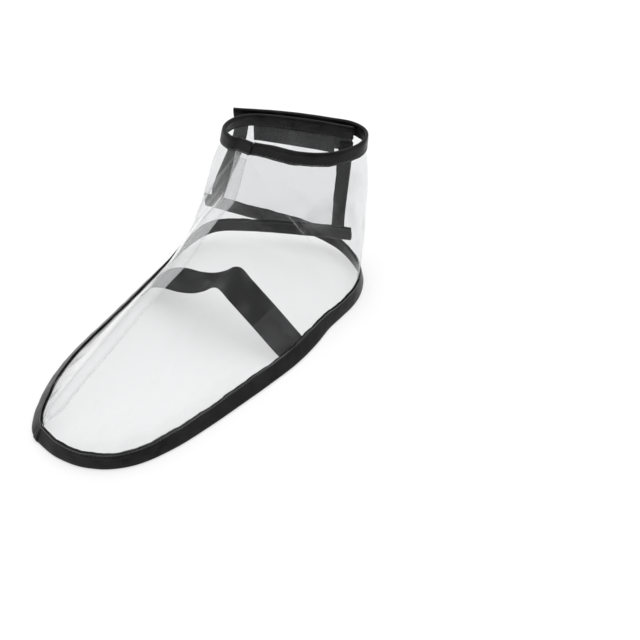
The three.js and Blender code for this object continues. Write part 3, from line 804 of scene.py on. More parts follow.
@dataclass(frozen=True)
class BindingTape:
    """Black binding tape with a soft shine and fine lines along it, with painted sheen in its streaks and a
    painted highlight line near its edge.
    """

    name: str = "binding_tape"
    dark: tuple[float, float, float] = (0.002, 0.002, 0.0022)
    light: tuple[float, float, float] = (0.022, 0.022, 0.023)
    # Colour of the painted highlight line near the tape's edge
    pale: tuple[float, float, float] = (0.2, 0.2, 0.205)
    line_pitch: float = 0.0009
    # Place, half width and strength of the painted highlight line across the tape
    glint_line_at: float = 0.0007
    glint_line_half: float = 0.0003
    glint_line_gain: float = 1.3

    def material(self) -> bpy.types.Material:
        """Lines along the tape from its UV, broken up by noise and partly painted sheen, and one broken pale
        painted highlight line near its edge.
        """
        nodes = Nodes(self.name)
        coordinates = nodes.add("ShaderNodeTexCoord")
        across = nodes.add("ShaderNodeSeparateXYZ", Vector=coordinates.outputs["UV"]).outputs["Y"]
        phase = nodes.math("MULTIPLY", across, TURN / self.line_pitch)
        lines = nodes.math("MULTIPLY_ADD", nodes.math("SINE", phase), 0.5, 0.5)
        stretched = nodes.add("ShaderNodeMapping", Vector=coordinates.outputs["UV"], Scale=(25.0, 900.0, 1.0))
        streaks = nodes.add("ShaderNodeTexNoise", Vector=stretched.outputs[0], Scale=1.0, Detail=4.0)
        cloud = nodes.add("ShaderNodeTexNoise", Vector=coordinates.outputs["Object"], Scale=70.0, Detail=3.0)
        mix = nodes.math("MULTIPLY", lines, streaks.outputs["Fac"])
        # Colour of the lines, streaked and clouded by noise: partly the tape's grain, partly painted sheen
        # standing in for its reflections
        grain_and_painted_sheen = nodes.math("MULTIPLY", mix, nodes.math("MULTIPLY_ADD", cloud.outputs["Fac"], 2.2, -0.3))
        # Painted highlight: a broken pale line near the tape's edge stands in for a glint along it
        edge = nodes.math("COMPARE", across, self.glint_line_at, self.glint_line_half)
        broken = nodes.math("MULTIPLY", edge, streaks.outputs["Fac"])
        glint = nodes.math("MULTIPLY_ADD", broken, self.glint_line_gain, grain_and_painted_sheen)
        colour = nodes.ramp(glint, (0.05, self.dark), (0.6, self.light), (1.0, self.pale))
        rough = nodes.math("MULTIPLY_ADD", cloud.outputs["Fac"], 0.3, 0.16)
        low = nodes.add("ShaderNodeBump", Strength=0.7, Distance=0.0006, Height=cloud.outputs["Fac"])
        bump = nodes.add(
            "ShaderNodeBump", Strength=0.45, Distance=0.00012, Height=mix, Normal=low.outputs["Normal"]
        )
        body = nodes.add(
            "ShaderNodeBsdfPrincipled", Base_Color=colour, Roughness=rough, Normal=bump.outputs["Normal"],
            Specular_IOR_Level=0.2,
        )
        return nodes.finished(body.outputs[0])


@dataclass(frozen=True)
class WovenElastic:
    """Black woven elastic with ribs along it and fine threads across."""

    name: str = "woven_elastic"
    thread_pitch: float = 0.0007
    rib_pitch: float = 0.001
    # The lighter stretch and the thin pale line at its end are painted reflection of the film over the strap
    painted_reflection_up_to: float = 0.036
    painted_reflection_by: float = 0.4
    cloud_gain: float = 2.2
    cloud_shift: float = -0.62
    reflection_line_half: float = 0.0004
    reflection_line_gain: float = 0.35

    def material(self) -> bpy.types.Material:
        """Weave from a product of two sine waves in the strap's UV, with fuzz and cloudy shades from noise.

        The stretch up to painted_reflection_up_to is painted lighter, a painted reflection of the film over
        the strap, with a thin painted pale line at its end.
        """
        nodes = Nodes(self.name)
        coordinates = nodes.add("ShaderNodeTexCoord")
        parts = nodes.add("ShaderNodeSeparateXYZ", Vector=coordinates.outputs["UV"])
        across = nodes.math("SINE", nodes.math("MULTIPLY", parts.outputs["X"], TURN / self.thread_pitch))
        along = nodes.math("SINE", nodes.math("MULTIPLY", parts.outputs["Y"], TURN / self.rib_pitch))
        weave = nodes.math("MULTIPLY_ADD", nodes.math("MULTIPLY", across, along), 0.5, 0.5)
        fuzz = nodes.add("ShaderNodeTexNoise", Vector=coordinates.outputs["Object"], Scale=900.0, Detail=3.0)
        cloud = nodes.add("ShaderNodeTexNoise", Vector=coordinates.outputs["Object"], Scale=60.0, Detail=3.0)
        height = nodes.math("MULTIPLY_ADD", fuzz.outputs["Fac"], 0.35, weave)
        # Painted reflection: lighter up to painted_reflection_up_to, with a thin pale line at its end
        near = nodes.math("LESS_THAN", parts.outputs["X"], self.painted_reflection_up_to)
        level = nodes.math("MULTIPLY_ADD", near, self.painted_reflection_by, self.cloud_shift)
        mottle = nodes.math("MULTIPLY_ADD", cloud.outputs["Fac"], self.cloud_gain, level)
        shade = nodes.math("MULTIPLY", nodes.math("MULTIPLY_ADD", height, 0.35, 0.5), mottle)
        reflection_line = nodes.math("COMPARE", parts.outputs["X"], self.painted_reflection_up_to, self.reflection_line_half)
        shade = nodes.math("MULTIPLY_ADD", reflection_line, self.reflection_line_gain, shade)
        colour = nodes.ramp(shade, (0.22, (0.002, 0.002, 0.0022)), (0.85, (0.052, 0.052, 0.054)))
        bump = nodes.add("ShaderNodeBump", Strength=0.3, Distance=0.0001, Height=height)
        body = nodes.add(
            "ShaderNodeBsdfPrincipled", Base_Color=colour, Roughness=0.8, Normal=bump.outputs["Normal"],
            Specular_IOR_Level=0.06,
        )
        return nodes.finished(body.outputs[0])


@dataclass(frozen=True)
class HookAndLoop:
    """Dark grey pile tape: a felted mat of small loops or hooks."""

    name: str = "hook_and_loop"
    pile_scale: float = 900.0

    def material(self) -> bpy.types.Material:
        """Fine cells and noise give the pile its colour and bump."""
        nodes = Nodes(self.name)
        where = nodes.add("ShaderNodeTexCoord").outputs["Object"]
        pile = nodes.add("ShaderNodeTexVoronoi", Vector=where, Scale=self.pile_scale).outputs["Distance"]
        cloud = nodes.add("ShaderNodeTexNoise", Vector=where, Scale=140.0, Detail=4.0).outputs["Fac"]
        height = nodes.math("MULTIPLY", pile, nodes.math("MULTIPLY_ADD", cloud, 0.9, 0.4))
        colour = nodes.ramp(height, (0.05, (0.008, 0.008, 0.009)), (0.7, (0.05, 0.05, 0.052)))
        bump = nodes.add("ShaderNodeBump", Strength=0.8, Distance=0.0004, Height=height)
        body = nodes.add(
            "ShaderNodeBsdfPrincipled", Base_Color=colour, Roughness=0.9, Normal=bump.outputs["Normal"],
            Specular_IOR_Level=0.2, Sheen_Weight=0.12, Sheen_Roughness=0.5,
        )
        return nodes.finished(body.outputs[0])


@dataclass(frozen=True)
class Thread:
    """Twisted sewing thread in one colour."""

    name: str
    colour: tuple[float, float, float]
    roughness: float = 0.45

    def material(self) -> bpy.types.Material:
        """Fine noise varies the colour and the bump as the twist does."""
        nodes = Nodes(self.name)
        where = nodes.add("ShaderNodeTexCoord").outputs["Object"]
        twist = nodes.add("ShaderNodeTexNoise", Vector=where, Scale=2200.0, Detail=2.0).outputs["Fac"]
        darker = tuple(0.6 * part for part in self.colour)
        colour = nodes.ramp(twist, (0.35, darker), (0.65, self.colour))
        bump = nodes.add("ShaderNodeBump", Strength=0.5, Distance=0.0001, Height=twist)
        body = nodes.add(
            "ShaderNodeBsdfPrincipled", Base_Color=colour, Roughness=self.roughness,
            Normal=bump.outputs["Normal"],
        )
        return nodes.finished(body.outputs[0])


@dataclass(frozen=True)
class PaleFloor:
    """Plain white matt floor, lit from below as well, as on a light table, so that shadows stay faint."""

    name: str = "pale_floor"
    colour: tuple[float, float, float] = (0.45, 0.45, 0.45)
    own_light: float = 0.58

    def material(self) -> bpy.types.Material:
        """One rough pale surface with an even light of its own."""
        nodes = Nodes(self.name)
        body = nodes.add(
            "ShaderNodeBsdfPrincipled", Base_Color=(*self.colour, 1.0), Roughness=0.9, Specular_IOR_Level=0.1,
            Emission_Color=(1.0, 1.0, 1.0, 1.0), Emission_Strength=self.own_light,
        )
        return nodes.finished(body.outputs[0])


def make_piece(name: str, part: MeshPart, materials: list[bpy.types.Material],
               replaced: str | None = None) -> bpy.types.Object:
    """Puts a mesh part into the scene as a piece of the cover.

    Args:
        name: Name of the piece.
        part: Its mesh, in millimetres in the tables' frame.
        materials: Its materials, in the order of the faces' finish numbers.
        replaced: CAD node that it stands for, if any.

    Returns:
        The new object, riding on the body.
    """
    mesh = bpy.data.meshes.new(name)
    faces = [face for block in part.blocks for face in block.tolist()]
    mesh.from_pydata(((part.points - MIDDLE) * MM).tolist(), [], faces)
    layer = mesh.uv_layers.new(name="surface")
    corner = np.empty(len(mesh.loops), np.int32)
    mesh.loops.foreach_get("vertex_index", corner)
    layer.data.foreach_set("uv", part.uv[corner].astype(np.float32).ravel())
    mesh.polygons.foreach_set("use_smooth", np.ones(len(mesh.polygons), bool))
    mesh.polygons.foreach_set("material_index", part.finishes().astype(np.int32))
    mesh.update()
    piece = bpy.data.objects.new(name, mesh)
    bpy.context.scene.collection.objects.link(piece)
    for material in materials:
        mesh.materials.append(material)
    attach(piece, "root")
    if replaced:
        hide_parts(replaced)
    log.info("%s: %d points, %d faces", name, len(part.points), part.count())
    return piece


@dataclass
class FilmSheet:
    """A film panel as a thin sheet with its lap, from inside the lower tape to inside the collar tape."""

    name: str
    panel: Panel
    flat: tuple[float, float]
    area: float
    rests_on: tuple[str, ...]
    rows_per_row: int = 10
    steps_up: int = 56
    collar_steps: int = 6
    lap_steps: int = 6

    def relief(self, rows: Array, shares: Array) -> Array:
        """Small waves of the film: sums of long sines, faded out at the tape and at the seam.

        Args:
            rows: Row numbers.
            shares: Shares of the way up the rib.

        Returns:
            Height of the film over its smooth shape, rows by shares.
        """
        r, s = np.meshgrid(rows, shares, indexing="ij")
        fade = smoothstep(s, 0.06, 0.3) * (1.0 - smoothstep(s, 0.75, 0.97))
        long = 0.35 * np.sin(1.9 * r + 2.6 * s) + 0.22 * np.sin(3.7 * r - 5.0 * s + 1.3)
        return fade * (long + 0.12 * np.sin(7.3 * r + 3.1 * s + 0.6))

    def part(self) -> MeshPart:
        """Main sheet, the stretch in the collar tape, and the lap across the ridge, welded together."""
        panel = self.panel
        rows = np.linspace(0.0, panel.last_row, panel.last_row * self.rows_per_row + 1)
        shares = np.linspace(0.0, 1.0, self.steps_up)
        to_neck, _ = panel.lengths(rows)
        distances = TAPE_FOLD + (to_neck - TAPE_FOLD)[:, None] * shares[None, :]
        main = panel.surface(rows, distances)
        flip = panel.side is Side.LATERAL
        normals = grid_normals(main) * (-1.0 if flip else 1.0)
        main = main + normals * self.relief(rows, shares)[..., None]
        travelled = np.concatenate([[0.0], np.cumsum(np.linalg.norm(np.diff(main[:, 0], axis=0), axis=1))])
        uv = np.stack([np.broadcast_to(travelled[:, None], distances.shape), distances], axis=2) * MM
        part = grid_part(main, uv, flip)
        ring_rows = rows[rows >= NECK_ROW - 1e-9]
        first = len(rows) - len(ring_rows)
        steps = np.linspace(0.0, 1.0, self.collar_steps)[None, :, None]
        collar = lerp(main[first:, -1][:, None], panel.ring(ring_rows - NECK_ROW)[:, None], steps)
        part = part.joined(grid_part(collar, collar[..., :2] * MM, flip))
        part = part.joined(self.lap(rows, flip))
        return part.welded()

    def lap(self, rows: Array, flip: bool) -> MeshPart:
        """The strip that reaches across the ridge, of full width on the outer layer."""
        side, layer = self.panel.side.value, self.panel.layer.value
        outer = self.panel.layer is Layer.OUTER
        top = NECK_ROW + 1 if outer else NECK_ROW
        lap_rows = rows[(rows >= LAP_START) & (rows <= top + 1e-9)]
        near = lap_line(lap_rows, side, layer)[:, None]
        far = lap_line(lap_rows, -side, layer)[:, None]
        across = np.linspace(0.0, 1.0, self.lap_steps)[None, :, None]
        grid = lerp(near, far, across)
        return grid_part(grid, grid[..., :2] * MM, flip).finished_as(1)

    def build(self, finishes: list[bpy.types.Material]) -> bpy.types.Object:
        """Args:
            finishes: Materials of the film, of the lap and of the cut edge.

        Returns:
            The new object.
        """
        piece = make_piece(f"{self.name}_film", self.part(), finishes, self.name)
        wall = piece.modifiers.new("wall", "SOLIDIFY")
        wall.thickness = FILM_WALL * MM
        wall.offset = 0.0
        wall.use_rim = True
        wall.material_offset_rim = 2
        return piece


@dataclass
class TapeBand:
    """Folded binding tape carried along stations: a bulging fold with its two edges sewn to the film."""

    name: str
    stations: Stations
    width: float
    level: bool = False
    half_fold: float = 1.6
    half_edge: float = 1.15
    wall: float = 0.75
    slot: float = 0.42
    groove: float = 0.04
    groove_pitch: float = 2.9
    stitch_inset: float = 1.5
    pucker: float = 0.02
    dents: tuple[float, float] = (0.04, 0.02)
    seam_press: float = 0.22
    pitch: float = 1.0
    wall_points: int = 20
    fold_points: int = 9
    seed: int = 1

    def half_width(self, depth: Array) -> Array:
        """Half the band's thickness at a depth: full at the fold, pressed in at the seam, with grooves.

        Args:
            depth: Distance from the fold towards the film.

        Returns:
            Distance from the middle of the film to the tape's outer face.
        """
        squeeze = smoothstep(depth, 0.25 * self.width, self.width - self.stitch_inset)
        half = lerp(self.half_fold, self.half_edge, squeeze)
        grooves = self.groove * (0.5 - 0.5 * np.cos(2.0 * np.pi * depth / self.groove_pitch)) ** 4
        seam = self.seam_press * np.exp(-(((depth - (self.width - self.stitch_inset)) / 0.55) ** 2))
        return half - grooves - seam

    def section(self) -> tuple[Array, Array]:
        """One loop round the folded section: outer wall, rounded fold, other wall, and back inside.

        Returns:
            Distances across the film and depths from the fold, one of each for every point.
        """
        radius = self.half_fold
        up = np.linspace(radius, self.width, self.wall_points)
        turn = np.linspace(0.0, np.pi, self.fold_points)[1:-1]
        outer_half = self.half_width(up)
        outer = np.column_stack([outer_half[::-1], up[::-1]])
        fold = np.column_stack([radius * np.cos(turn), radius - radius * np.sin(turn)])
        other = np.column_stack([-outer_half, up])
        floor = self.wall + 0.25
        inner = np.linspace(self.width, floor + self.slot, 6)
        inside_left = np.column_stack([np.full(6, -self.slot), inner])
        inside_right = np.column_stack([np.full(6, self.slot), inner[::-1]])
        tip = 0.25
        rounded = np.array([(-(outer_half[-1] + self.slot) / 2.0, self.width + tip)])
        loop = np.vstack([outer, fold, other, rounded, inside_left, (0.0, floor), inside_right, -rounded])
        loop[-1, 1] = self.width + tip
        return loop[:, 0], loop[:, 1]

    def part(self) -> MeshPart:
        """Carries the section along the stations, with small puckers between the stitches."""
        line = self.stations.spaced(self.pitch)
        travelled = line.distances()
        across, depth = self.section()
        chance = np.random.default_rng(self.seed)
        phases = chance.uniform(0.0, 2.0 * np.pi, 4)
        waves = zip((0.09, 0.23, 0.51, 1.1), (0.26, 0.2, 0.13, 0.07), phases)
        edge_wave = sum(size * np.sin(rate * travelled + phase) for rate, size, phase in waves)
        share = np.clip(depth / self.width, 0.0, 1.0)
        pucker = self.pucker * np.sin(2.0 * np.pi * travelled / STITCH_PITCH)[:, None] * share[None, :] ** 2
        dents = self.dents[0] * np.sin(0.37 * travelled[:, None] + 0.55 * depth[None, :] + phases[0])
        dents = dents + self.dents[1] * np.sin(0.53 * travelled[:, None] - 0.8 * depth[None, :] + phases[1])
        wide = across[None, :] * (1.0 + pucker + dents)
        deep = depth[None, :] + edge_wave[:, None] * share[None, :] ** 2
        grid = (
            line.place[:, None]
            + line.normal[:, None] * wide[..., None]
            + line.inward[:, None] * deep[..., None]
        )
        if self.level:
            lowest = grid[..., 2].min(axis=1)
            grid[..., 2] += (line.place[:, 2] - lowest)[:, None]
        round_loop = np.concatenate([[0.0], np.cumsum(np.hypot(np.diff(across), np.diff(depth)))])
        uv = np.stack(np.broadcast_arrays(travelled[:, None], round_loop[None, :]), axis=2) * MM
        return loop_part(grid, uv)

    def stitch_line(self, face: Face) -> tuple[Array, Array, Array, Array]:
        """Centres and directions of the stitches on one face of the tape.

        Args:
            face: The face that they lie on.

        Returns:
            Centre, direction of travel, direction out of the tape and direction across it.
        """
        line = self.stations.spaced(STITCH_PITCH)
        depth = self.width - self.stitch_inset
        half = float(self.half_width(np.array([depth]))[0])
        out = line.normal * face.value
        centre = line.place + line.inward * depth + out * half
        if self.level:
            centre[:, 2] += self.half_fold * (1.0 - line.inward[:, 2])
        return centre[1:-1], line.along()[1:-1], out[1:-1], line.inward[1:-1]

    def build(self, tape: bpy.types.Material) -> bpy.types.Object:
        """Makes the tape and lets it stand for its CAD node."""
        return make_piece(f"{self.name}_tape", self.part(), [tape], self.name)


@dataclass
class StitchRun:
    """A run of short threads, each one a low capsule that dips into the cloth at both ends."""

    length: float = 2.3
    radius: float = 0.2
    sides: int = 6

    def template(self) -> tuple[Array, list[Array]]:
        """One stitch: rings of points that swell in the middle, and its faces."""
        places = np.array((-0.5, -0.3, 0.0, 0.3, 0.5)) * self.length
        radii = np.array((0.35, 0.9, 1.0, 0.9, 0.35)) * self.radius
        sink = np.array((-0.9, -0.1, 0.15, -0.1, -0.9)) * self.radius
        angle = np.linspace(0.0, 2.0 * np.pi, self.sides, endpoint=False)
        x = np.broadcast_to(places[:, None], (len(places), self.sides))
        out = sink[:, None] + radii[:, None] * np.sin(angle)[None, :]
        aside = radii[:, None] * np.cos(angle)[None, :]
        points = np.stack([x, out, aside], axis=2).reshape(-1, 3)
        return points, loop_blocks(len(places), self.sides)

    def part(self, centre: Array, along: Array, out: Array, aside: Array) -> MeshPart:
        """Copies the stitch to every centre, turned to the directions given there.

        Args:
            centre: Middle of each stitch.
            along: Direction of the thread.
            out: Direction out of the cloth.
            aside: Direction across the thread.

        Returns:
            All the stitches in one mesh.
        """
        points, blocks = self.template()
        placed = (
            centre[:, None]
            + along[:, None] * points[None, :, :1]
            + out[:, None] * points[None, :, 1:2]
            + aside[:, None] * points[None, :, 2:]
        )
        first = len(points) * np.arange(len(centre))[:, None, None]
        moved = [(block + first).reshape(-1, block.shape[1]) for block in blocks]
        flat = placed.reshape(-1, 3)
        part = MeshPart(flat, moved, flat[:, :2] * MM)
        mirrored = np.dot(np.cross(along[0], out[0]), aside[0]) < 0.0
        return part.turned_over() if mirrored else part


def join_all(parts: list[MeshPart]) -> MeshPart:
    """Several mesh parts as one."""
    joined = parts[0]
    for part in parts[1:]:
        joined = joined.joined(part)
    return joined


@dataclass
class Bindings:
    """All the folded tapes of the cover and the thread that sews them on."""

    lower_width: float = 12.0
    upper_width: float = 10.4
    lower_overrun: float = 8.0
    collar_overrun: float = 2.0
    toe_tab: float = 0.5
    toe_lift: float = 0.9

    def lower(self, panel: Panel) -> Stations:
        """Stations along a panel's lower edge, carried on past the flap.

        The covered panel's tape starts on the other panel's edge, so that it laps the toe join.
        """
        rows = np.linspace(0.0, panel.last_row, panel.last_row * 12 + 1)
        stations = panel.foot_stations(rows)
        if panel.layer is Layer.COVERED:
            before = LATERAL.foot_stations(np.linspace(self.toe_tab, 0.03, 8))
            lifted = Stations(before.place + before.normal * self.toe_lift, before.inward, before.normal)
            stations = Stations(*(np.vstack(pair) for pair in zip(lifted, stations)))
        return stations.run_on(self.lower_overrun)

    def collar(self, panel: Panel) -> Stations:
        """Stations along a panel's collar edge from the seam, carried on past the flap."""
        rows = np.linspace(NECK_ROW + 0.05, panel.last_row, (panel.last_row - NECK_ROW) * 12)
        stations = panel.collar_stations(rows)
        if panel.layer is Layer.OUTER:
            stations = self.over_the_lap(stations)
        return stations.run_on(self.collar_overrun)

    def over_the_lap(self, stations: Stations) -> Stations:
        """Starts the outer layer's collar tape on the far side of the lap, straight across the ridge."""
        start = stations.place[0] + np.array((LAP + 0.9, 0.0, 0.0))
        return Stations(
            np.vstack([start, stations.place]),
            np.vstack([stations.inward[0], stations.inward]),
            np.vstack([stations.normal[0], stations.normal]),
        )

    def flap(self, panel: Panel) -> Stations:
        """Stations up a flap's edge, between the lower and the collar tape."""
        _, total = panel.lengths(np.array([float(panel.last_row)]))
        distances = np.linspace(TAPED + 0.4, float(total[0]) - TAPED + 1.5, 40)
        return panel.flap_stations(distances)

    def bands(self) -> list[TapeBand]:
        """The six tapes."""
        made = []
        for seed, (panel, word) in enumerate(((MEDIAL, "medial"), (LATERAL, "lateral"))):
            lower, collar, flap = self.lower(panel), self.collar(panel), self.flap(panel)
            made += [
                TapeBand(f"{word}_bottom_binding", lower, self.lower_width, True, seed=seed),
                TapeBand(f"{word}_collar_binding", collar, self.upper_width, seed=3 + seed),
                TapeBand(f"{word}_flap_binding", flap, self.upper_width, seed=5 + seed),
            ]
        return made

    def build(self, tape: bpy.types.Material, thread: bpy.types.Material) -> list[bpy.types.Object]:
        """Makes the tapes and, on both faces of each, its stitches."""
        bands = self.bands()
        pieces = [band.build(tape) for band in bands]
        run = StitchRun()
        stitches = [run.part(*band.stitch_line(face)) for band in bands for face in Face]
        pieces.append(make_piece("tape_stitches", join_all(stitches), [thread]))
        return pieces


@dataclass
class LapStitches:
    """Two rows of clear thread along the lap seam."""

    inset: float = 1.6
    first_row: float = 0.7
    last_row: float = NECK_ROW - 0.1

    def build(self, thread: bpy.types.Material) -> bpy.types.Object:
        """Sets stitches along both edges of the lap, on the outer film."""
        rows = np.linspace(self.first_row, self.last_row, 500)
        normal = ridge_normal(rows)
        run = StitchRun(length=1.9, radius=0.16)
        parts = []
        for side in Side:
            edge = lap_line(rows, side.value, Layer.OUTER.value)
            edge[:, 0] -= side.value * self.inset
            edge += normal * FILM_WALL / 2.0
            line = Stations(edge, np.broadcast_to((1.0, 0.0, 0.0), edge.shape), normal).spaced(STITCH_PITCH)
            parts.append(run.part(line.place, line.along(), line.normal, line.inward))
        return make_piece("lap_stitches", join_all(parts), [thread])


@dataclass
class ClosurePatch:
    """A patch of hook or loop tape sewn on one face of a flap just below the collar tape."""

    name: str
    panel: Panel
    rows: tuple[float, float]
    face: Face
    offset: float = 1.5
    thickness: float = 1.1
    height: float = 14.0
    below: float = 8.8
    inset: float = 3.4
    pile_height: float = 0.07
    stitch_pitch: float = 2.6
    steps_along: int = 120
    steps_up: int = 34

    def middle(self, rows: Array, heights: Array) -> tuple[Array, Array]:
        """Middle surface of the patch and its normals.

        Args:
            rows: Row numbers along the flap.
            heights: Shares of the patch's height.

        Returns:
            Points and unit normals that point out of the cover.
        """
        _, total = self.panel.lengths(rows)
        top = total - self.below
        distances = (top - self.height)[:, None] + self.height * heights[None, :]
        film = self.panel.surface(rows, distances)
        normal = grid_normals(film) * self.panel.side.value
        return film + normal * self.face.value * self.offset, normal

    def part(self) -> MeshPart:
        """A slab with softened edges and a pile that rises and falls by seeded chance."""
        rows = np.linspace(*self.rows, self.steps_along)
        heights = np.linspace(0.0, 1.0, self.steps_up)
        middle, normal = self.middle(rows, heights)
        ways = (np.linspace(-1.0, 1.0, steps) for steps in (self.steps_along, self.steps_up))
        u, v = np.meshgrid(*ways, indexing="ij")
        rounded = np.sqrt(np.clip(1.0 - np.maximum(np.abs(u) ** 40, np.abs(v) ** 14), 0.02, 1.0))
        chance = np.random.default_rng(11 + self.face.value)
        pile = chance.normal(0.0, self.pile_height, rounded.shape) * rounded
        half = (self.thickness / 2.0) * rounded
        top = middle + normal * (half + pile * (self.face is Face.OUTSIDE))[..., None]
        base = middle - normal * (half + pile * (self.face is Face.INSIDE))[..., None]
        loops = np.concatenate([top, base[:, ::-1]], axis=1)
        uv = loops[..., [0, 2]] * MM
        return loop_part(loops, uv)

    def stitches(self) -> MeshPart:
        """Stitches round the patch, a little in from its edge, on the side away from the other patch."""
        low, high = self.rows
        margin = self.inset / self.height
        rows = np.linspace(low, high, 200)
        level = np.array([margin, 1.0 - margin / 2.0])
        middle, normal = self.middle(rows, level)
        run = StitchRun(length=1.9, radius=0.22)
        side = -self.face.value
        parts = []
        for k in range(2):
            place = middle[:, k] + normal[:, k] * side * self.thickness / 2.0
            along = unit(np.gradient(place, axis=0))
            line = Stations(place, np.cross(along, normal[:, k]), normal[:, k] * side)
            line = line.spaced(self.stitch_pitch)
            parts.append(run.part(line.place[1:-1], line.along()[1:-1], line.normal[1:-1], line.inward[1:-1]))
        return join_all(parts)

    def build(self, pile: bpy.types.Material, thread: bpy.types.Material) -> list[bpy.types.Object]:
        """Makes the patch in place of its CAD node, and its stitches."""
        return [
            make_piece(f"{self.name}_tape", self.part(), [pile], self.name),
            make_piece(f"{self.name}_stitches", self.stitches(), [thread]),
        ]


@dataclass
class ElasticStrap:
    """The slack elastic strap: sewn to both lower tapes inside, with its middle standing in an arch."""

    name: str = "instep_strap"
    width: float = 28.0
    thickness: float = 1.3
    middle_y: float = 21.0
    sewn: tuple[float, float] = (5.0, 10.0)
    seat_depth: float = 3.25
    ribs: int = 14
    lines: int = 57
    steps: int = 360

    def seats(self, panel: Panel, y: Array) -> Array:
        """Places on the inner face of a lower tape, at the sewn distances, for each line of the strap.

        Args:
            panel: The panel whose tape it is.
            y: Y of each line across the strap.

        Returns:
            Array of sewn places by lines by X, Y, Z.
        """
        rows = np.array([panel.row_at(float(value)) for value in y])
        line = panel.foot_stations(rows)
        base = line.place - line.normal * self.seat_depth
        return np.stack([base + line.inward * distance for distance in self.sewn])

    def middle(self) -> Array:
        """Middle surface of the strap, steps by lines: curves through the seats and the arch."""
        y = self.middle_y + self.width * np.linspace(-0.5, 0.5, self.lines)
        arch = np.array([[(row.x, value, row.z) for value in y] for row in STRAP_ARCH])
        points = np.concatenate([self.seats(MEDIAL, y), arch, self.seats(LATERAL, y)[::-1]])
        curve = RowCurve(points)
        return curve(np.linspace(0.0, curve.last, self.steps))

    def part(self) -> MeshPart:
        """The band with ribs along it and rounded selvedges, as loops round its section."""
        middle = self.middle()
        normal = grid_normals(middle)
        place = np.linspace(-1.0, 1.0, self.lines)
        cords = 0.07 * np.abs(np.sin(np.pi * self.ribs * (place + 1.0) / 2.0)) - 0.07
        edge = np.sqrt(np.clip(1.0 - np.abs(place) ** 24, 0.03, 1.0))
        half = ((self.thickness / 2.0 + cords) * edge)[None, :, None]
        loops = np.concatenate([middle + normal * half, (middle - normal * half)[:, ::-1]], axis=1)
        travelled = np.concatenate(
            [[0.0], np.cumsum(np.linalg.norm(np.diff(middle[:, self.lines // 2], axis=0), axis=1))]
        )
        across = np.concatenate([place, place[::-1]]) * self.width / 2.0
        uv = np.stack(np.broadcast_arrays(travelled[:, None], across[None, :]), axis=2) * MM
        return loop_part(loops, uv)

    def build(self, elastic: bpy.types.Material) -> bpy.types.Object:
        """Makes the strap in place of its CAD node."""
        return make_piece(f"{self.name}_elastic", self.part(), [elastic], self.name)


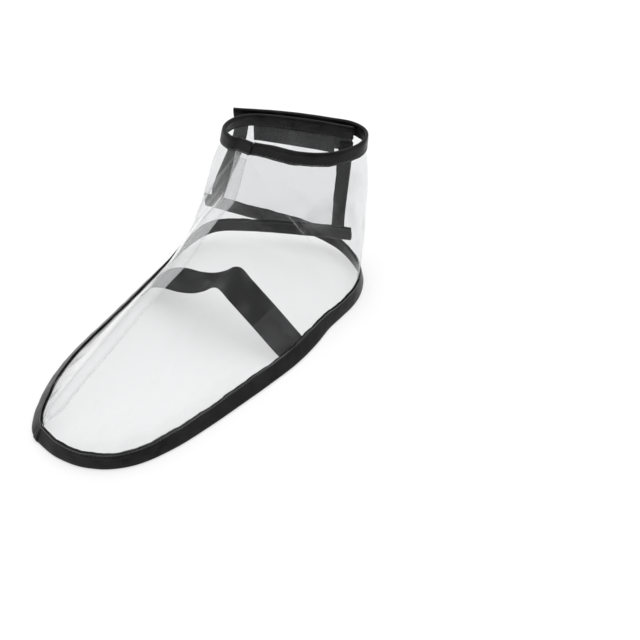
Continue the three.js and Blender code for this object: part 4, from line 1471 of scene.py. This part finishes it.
@dataclass
class Studio:
    """White floor, soft light from all round and above, and the camera at the photo's angle."""

    camera_place: tuple[float, float, float] = (461.0, -534.8, 649.1)
    camera_look: tuple[float, float, float] = (-0.4156, 0.6161, -0.6691)
    lens: float = 73.125
    sensor: float = 36.0
    floor_size: float = 12.0
    world_strength: float = 0.95
    dark_side: tuple[float, float, float] = (0.6, -0.8, 0.0)
    dark_level: float = 0.12
    softbox_power: float = 16.0
    softbox_size: float = 2.4
    softbox_place: tuple[float, float, float] = (0.2, 0.5, 2.2)

    def camera(self) -> None:
        """Sets the camera at its place, looking along its direction."""
        data = bpy.data.cameras.new("camera")
        data.lens = self.lens
        data.sensor_width = self.sensor
        data.clip_start = 0.02
        data.clip_end = 60.0
        camera = bpy.data.objects.new("camera", data)
        camera.location = Vector(((np.array(self.camera_place) - MIDDLE) * MM).tolist())
        camera.rotation_euler = Vector(self.camera_look).to_track_quat("-Z", "Y").to_euler()
        bpy.context.scene.collection.objects.link(camera)
        bpy.context.scene.camera = camera

    def floor(self) -> None:
        """Lays a flat square of floor at height 0."""
        half = self.floor_size / 2.0
        mesh = bpy.data.meshes.new("floor")
        square = [(-half, -half, 0.0), (half, -half, 0.0), (half, half, 0.0), (-half, half, 0.0)]
        mesh.from_pydata(square, [], [(0, 1, 2, 3)])
        mesh.materials.append(PaleFloor().material())
        floor = bpy.data.objects.new("floor", mesh)
        bpy.context.scene.collection.objects.link(floor)

    def light(self) -> None:
        """White surroundings that are darker low on the camera's side, and a large soft lamp above."""
        scene = bpy.context.scene
        world = bpy.data.worlds.new("surroundings")
        world.use_nodes = True
        tree = world.node_tree
        background = tree.nodes["Background"]
        where = tree.nodes.new("ShaderNodeTexCoord")
        toward = tree.nodes.new("ShaderNodeVectorMath")
        toward.operation = "DOT_PRODUCT"
        toward.inputs[1].default_value = self.dark_side
        shade = tree.nodes.new("ShaderNodeMapRange")
        shade.interpolation_type = "SMOOTHSTEP"
        shade.inputs["From Min"].default_value = 0.25
        shade.inputs["From Max"].default_value = 0.85
        shade.inputs["To Min"].default_value = 1.0
        shade.inputs["To Max"].default_value = self.dark_level
        tree.links.new(where.outputs["Generated"], toward.inputs[0])
        tree.links.new(toward.outputs["Value"], shade.inputs["Value"])
        tree.links.new(shade.outputs["Result"], background.inputs["Color"])
        background.inputs["Strength"].default_value = self.world_strength
        scene.world = world
        data = bpy.data.lights.new("softbox", "AREA")
        data.energy = self.softbox_power
        data.size = self.softbox_size
        lamp = bpy.data.objects.new("softbox", data)
        lamp.location = self.softbox_place
        lamp.rotation_euler = (-Vector(self.softbox_place)).to_track_quat("-Z", "Y").to_euler()
        lamp.visible_glossy = False
        scene.collection.objects.link(lamp)
        scene.view_settings.view_transform = "Standard"

    def build(self) -> None:
        """Sets up camera, floor and light."""
        self.camera()
        self.floor()
        self.light()


def corners(box: tuple[Vector, Vector]) -> list[list[float]]:
    """A box's two corners as plain lists of numbers."""
    return [list(corner) for corner in box]


def main() -> None:
    """Builds every sub-assembly in order."""
    logging.basicConfig(level=logging.INFO, format="%(message)s")
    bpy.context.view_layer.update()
    Studio().build()
    film = ClearFilm().material()
    # The streaks in these films' haze and the side film's pale wash above its tape are painted reflection
    side_film = ClearFilm(
        "side_film", haze=0.02, slant_power_above=4.0, painted_reflection_above=0.14, painted_streak=0.04, roughness=0.24
    ).material()
    lap = ClearFilm("lapped_film", tint=(0.985, 0.986, 0.987), haze=0.15, painted_streak=0.08).material()
    edge = CutEdge().material()
    tape = BindingTape().material()
    tape_thread = Thread("tape_thread", (0.075, 0.075, 0.078)).material()
    patch_thread = Thread("patch_thread", (0.006, 0.006, 0.006)).material()
    clear_thread = Thread("clear_thread", (0.62, 0.63, 0.64), 0.3).material()
    pile = HookAndLoop().material()
    medial = FilmSheet("medial_panel", MEDIAL, (0.23, 0.36), 0.0466, ("medial_bottom_binding_tape",))
    medial.build([film, lap, edge])
    lateral = FilmSheet("lateral_panel", LATERAL, (0.16, 0.36), 0.0305, ("lateral_bottom_binding_tape",))
    lateral.build([side_film, lap, edge])
    Bindings().build(tape, tape_thread)
    LapStitches().build(clear_thread)
    ClosurePatch("hook_patch", MEDIAL, (20.0, 23.0), Face.INSIDE).build(pile, patch_thread)
    ClosurePatch("loop_patch", LATERAL, (18.0, 21.4), Face.OUTSIDE).build(pile, patch_thread)
    ElasticStrap().build(WovenElastic().material())
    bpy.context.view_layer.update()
    log.info("sizes written")


if __name__ == "__main__":
    main()
